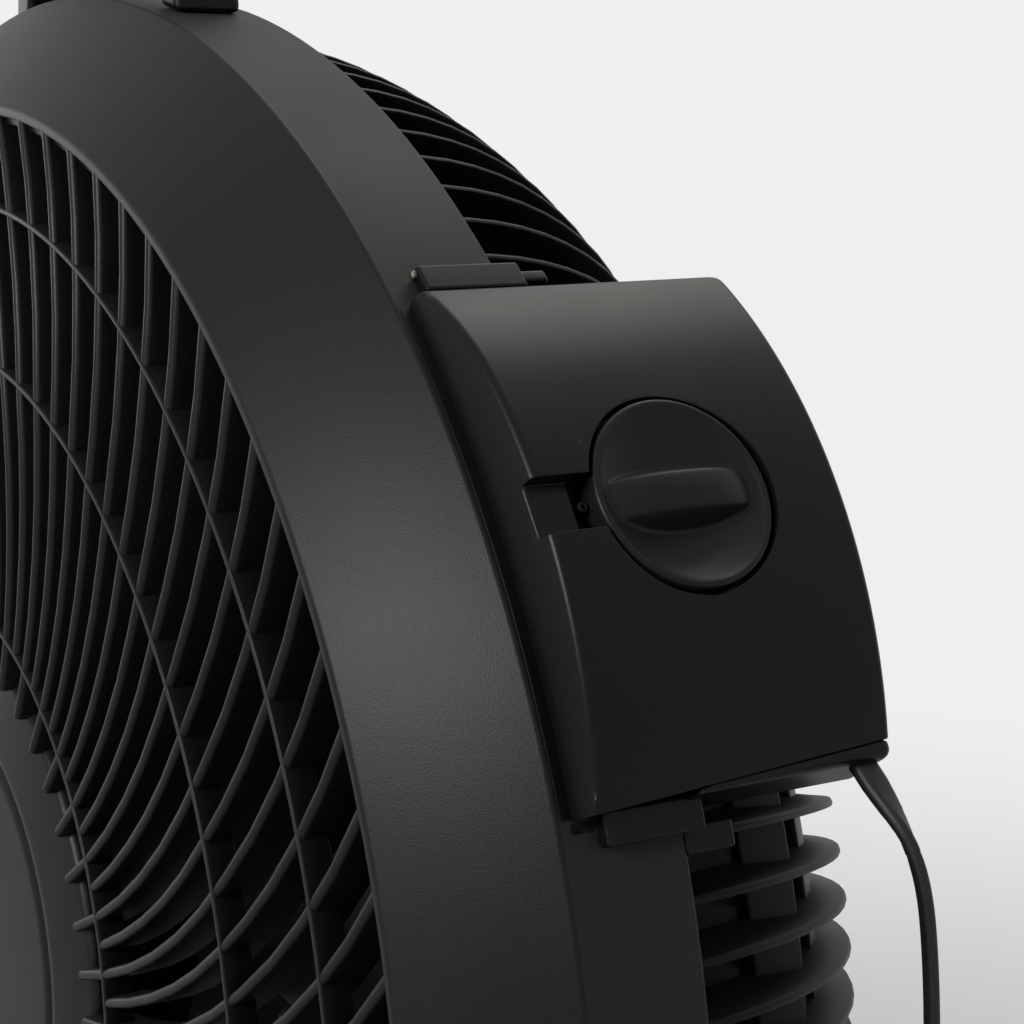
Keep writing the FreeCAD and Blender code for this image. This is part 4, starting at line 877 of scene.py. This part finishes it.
clip_set("upper_clip_bar", "upper_clip", front=-7, bar_turn=46.98, lug_turn=47.6, lug_half=1.8)
clip_set("lower_clip_bar", "lower_clip", front=-8.6, bar_turn=19.2, lug_turn=18.0, lug_half=3.3)
pin = turned([
    (0, PIN_BACK, 0), (PIN_RADIUS, PIN_BACK, 0), (PIN_RADIUS, PIN_FRONT, 0.6), (0, PIN_FRONT, 0)], 20)
bmesh.ops.translate(pin, vec=(PIN_OUT * MM, 0, 0), verts=pin.verts)
swung(pin, PIN_TURN)
place_piece("clip_pin", pin, "head", dull_steel, at=HEAD)

# %% [markdown]
# ## Pieces that only need their edges eased
# The legs, the handle and the small parts already have their true shape as solids. A merged copy of
# each gets rounded edges, because a sharp edge looks like a drawing and not like a moulding.


# %% Eased copies
def merged_solid(node):
    """A copy of a node's solid, with the faces that lie in one plane merged."""
    bm = bmesh.new()
    bm.from_mesh(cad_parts[node].data)
    bmesh.ops.remove_doubles(bm, verts=bm.verts, dist=1e-6)
    bmesh.ops.dissolve_limit(bm, angle_limit=math.radians(0.5), verts=bm.verts, edges=bm.edges)
    return bm


def eased_copy(node, body, width, material, segments=2):
    """A merged copy of a node with its sharp edges rounded, standing for the node."""
    copy = eased(merged_solid(node), width, segments)
    return place_piece("eased_" + node, copy, body, material, node, even=True)


for node, body, width, material in (
        ("carry_handle", "head", 2.2, satin_shell),
        ("left_pivot_boss", "head", 0.6, satin_shell), ("right_pivot_boss", "head", 0.6, satin_shell),
        ("run_capacitor", "head", 1.2, satin_shell), ("stand_leg_right", "stand", 2.0, leg_black),
        ("stand_leg_left", "stand", 2.0, leg_black), ("rubber_feet", "stand", 0.8, pad_rubber),
        ("pivot_bolts", "stand", 1.2, leg_black), ("crossbar_screws", "stand", 0.5, zinc),
        ("cord_tie", "stand", 0.3, pad_rubber)):
    eased_copy(node, body, width, material)
plug = eased_copy("plug_body", "stand", 2.0, cord_cover, 3)

# %% [markdown]
# ## The tray of the box
# The tray under the cover closes the box towards the drum. Its solid is eased like the others, and a
# moulded plate closes its lower end. The plate is a block that thins out towards the front, with its
# free edges rounded, and a wedge beside it fills the corner.

# %% Tray
PLATE_LOW, PLATE_HIGH = (268, -64.7, -85.8), (284.4, -60.8, -31)
THIN_ZONE, THIN_X, THIN_Y, PLATE_UNDER, PLATE_ROUNDING = 40, 282.9, -64.15, -64.6, 2.6
WEDGE_LOW, WEDGE_HIGH, WEDGE_REAR_Y = (268, -64.3, -85.3), (282.4, -58.6, -34), -62.2
end_plate = block(PLATE_LOW, PLATE_HIGH)
for vert in end_plate.verts:
    if vert.co.z > -THIN_ZONE * MM:
        vert.co.x = min(vert.co.x, THIN_X * MM)
        vert.co.y = min(vert.co.y, THIN_Y * MM)
at_rear = {v for v in end_plate.verts if v.co.z < -REAR_ZONE * MM}
outside = {v for v in end_plate.verts if v.co.x > RIM * MM}
below = {v for v in end_plate.verts if v.co.y < PLATE_UNDER * MM}
sides = (at_rear, outside, below)
free_edges = [e for e in end_plate.edges if sum(set(e.verts) <= side for side in sides) > 1]
round_edges(end_plate, free_edges, PLATE_ROUNDING, 5)
end_wall = block(WEDGE_LOW, WEDGE_HIGH)
for vert in end_wall.verts:
    if vert.co.z < -REAR_ZONE * MM:
        vert.co.y = max(vert.co.y, WEDGE_REAR_Y * MM)
for shape in (end_plate, end_wall):
    bmesh.ops.transform(shape, matrix=BOX, verts=shape.verts)
tray = eased(joined(merged_solid("control_base"), end_plate), EDGE_ROUNDING, 2, 30)
place_piece("box_tray", joined(tray, end_wall), "head", satin_shell, "control_base", even=True)

# %% [markdown]
# ## Finishes for the solids that stay
# The motor, the blade and the small metal parts keep their solids. Each gets the finish of its own
# material in place of the flat colour it came with.

# %% Finishes by node
finish_of = {
    "motor_front_bell": powder_coat, "motor_rear_bell": powder_coat, "stator_stack": iron_sheets,
    "front_winding": coil_wire, "rear_winding": coil_wire, "front_bearing": bronze, "rear_bearing": bronze,
    "motor_screws": zinc, "rotor_shaft": zinc, "fan_blade": blade_grey, "blade_nut": zinc,
    "rotary_switch": pale_nylon, "switch_spindle": zinc,
    "front_crossbar": powder_coat, "rear_crossbar": powder_coat, "friction_washers": pale_nylon,
    "motor_lead": cord_cover, "plug_pins": pin_metal}
for node, material in finish_of.items():
    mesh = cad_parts[node].data
    mesh.materials.clear()
    mesh.materials.append(material)
print(len(finish_of), "solids keep their shape")

# %% [markdown]
# ## Floor and light
# Soft studio light: a warm sheet overhead and behind, a key at the front right that draws the light
# band on the bezel, and a weak fill at the left. The floor is plain, holds the shadow and fades to a
# pale tone away from the fan. That tone and the pale world are only for rays from the camera,
# reflections and clear pieces; the world lights the fan much more weakly.


# %% Lamps
def softbox(name, place, aim, width, height, power, colour=(1, 1, 1)):
    """A rectangular area light, turned to its aim."""
    light = bpy.data.lights.new(name, "AREA")
    light.shape = "RECTANGLE"
    light.size = width
    light.size_y = height
    light.energy = power
    light.color = colour
    lamp = bpy.data.objects.new(name, light)
    lamp.location = place
    lamp.rotation_mode = "QUATERNION"
    lamp.rotation_quaternion = (Vector(aim) - Vector(place)).to_track_quat("-Z", "Y")
    scene.collection.objects.link(lamp)
    print(name, power, "W")


softbox("overhead", (-0.6, 1.15, 2.2), (0.1, 0, 0.45), 1.1, 0.9, 14, (1, 0.975, 0.92))
softbox("front_key", (0.72, -2.0, 1.42), (0.2, 0, 0.45), 0.75, 0.6, 47)
softbox("left_fill", (-2.1, -0.7, 0.8), (0, 0, 0.4), 0.8, 0.8, 5)

# %% Floor
FLOOR_RADIUS, FADE_FROM, FADE_TO, FLOOR_GLOW = 14, 0.1, 1.7, 0.86
disc = bmesh.new()
bmesh.ops.create_circle(disc, cap_ends=True, segments=64, radius=FLOOR_RADIUS)
ground = Finish("studio_floor")
ground.surface(Base_Color=ground.between(ground.noise(3), grey(0.74), grey(0.78)), Roughness=0.85)
away = ground.node("ShaderNodeVectorMath", {"operation": "LENGTH"}, {0: ground.place}, give=1)
camera_ray = ground.node("ShaderNodeLightPath", give="Is Camera Ray")
path = camera_ray.output.node.outputs
seen_rays = camera_ray + Socket(ground, path["Is Glossy Ray"]) + Socket(ground, path["Is Transmission Ray"])
glow = ground.node("ShaderNodeEmission", sockets={"Color": grey(FLOOR_GLOW), "Strength": 1.0})
plain = Socket(ground, ground.shader.outputs[0])
fade = ground.ramp(away, FADE_FROM, FADE_TO) * seen_rays
both = ground.node("ShaderNodeMixShader", sockets={0: fade, 1: plain, 2: glow})
ground.feed(ground.tree.nodes["Material Output"].inputs["Surface"], both)
floor = place_piece("studio_floor", disc, None, ground.material)

# %% World
WORLD_LIGHT, WORLD_SEEN = 0.18, 0.87
world = bpy.data.worlds.new("studio_world")
scene.world = world
world.use_nodes = True
tree = world.node_tree
tree.nodes.clear()


def background(level, strength):
    """A plain background of one grey level."""
    made = tree.nodes.new("ShaderNodeBackground")
    made.inputs["Color"].default_value = grey(level)
    made.inputs["Strength"].default_value = strength
    return made.outputs[0]


def either(left, right):
    """1 where a ray is of one kind or of the other."""
    made = tree.nodes.new("ShaderNodeMath")
    made.operation = "ADD"
    made.use_clamp = True
    tree.links.new(left, made.inputs[0])
    tree.links.new(right, made.inputs[1])
    return made.outputs[0]


rays = tree.nodes.new("ShaderNodeLightPath")
mirrored = either(rays.outputs["Is Glossy Ray"], rays.outputs["Is Transmission Ray"])
seen = either(rays.outputs["Is Camera Ray"], mirrored)
choose = tree.nodes.new("ShaderNodeMixShader")
for socket, source in zip(choose.inputs, (seen, background(1, WORLD_LIGHT), background(WORLD_SEEN, 1.0))):
    tree.links.new(source, socket)
target = tree.nodes.new("ShaderNodeOutputWorld")
tree.links.new(choose.outputs[0], target.inputs[0])
scene.view_settings.view_transform = "Standard"
print("world of", len(tree.nodes), "nodes")
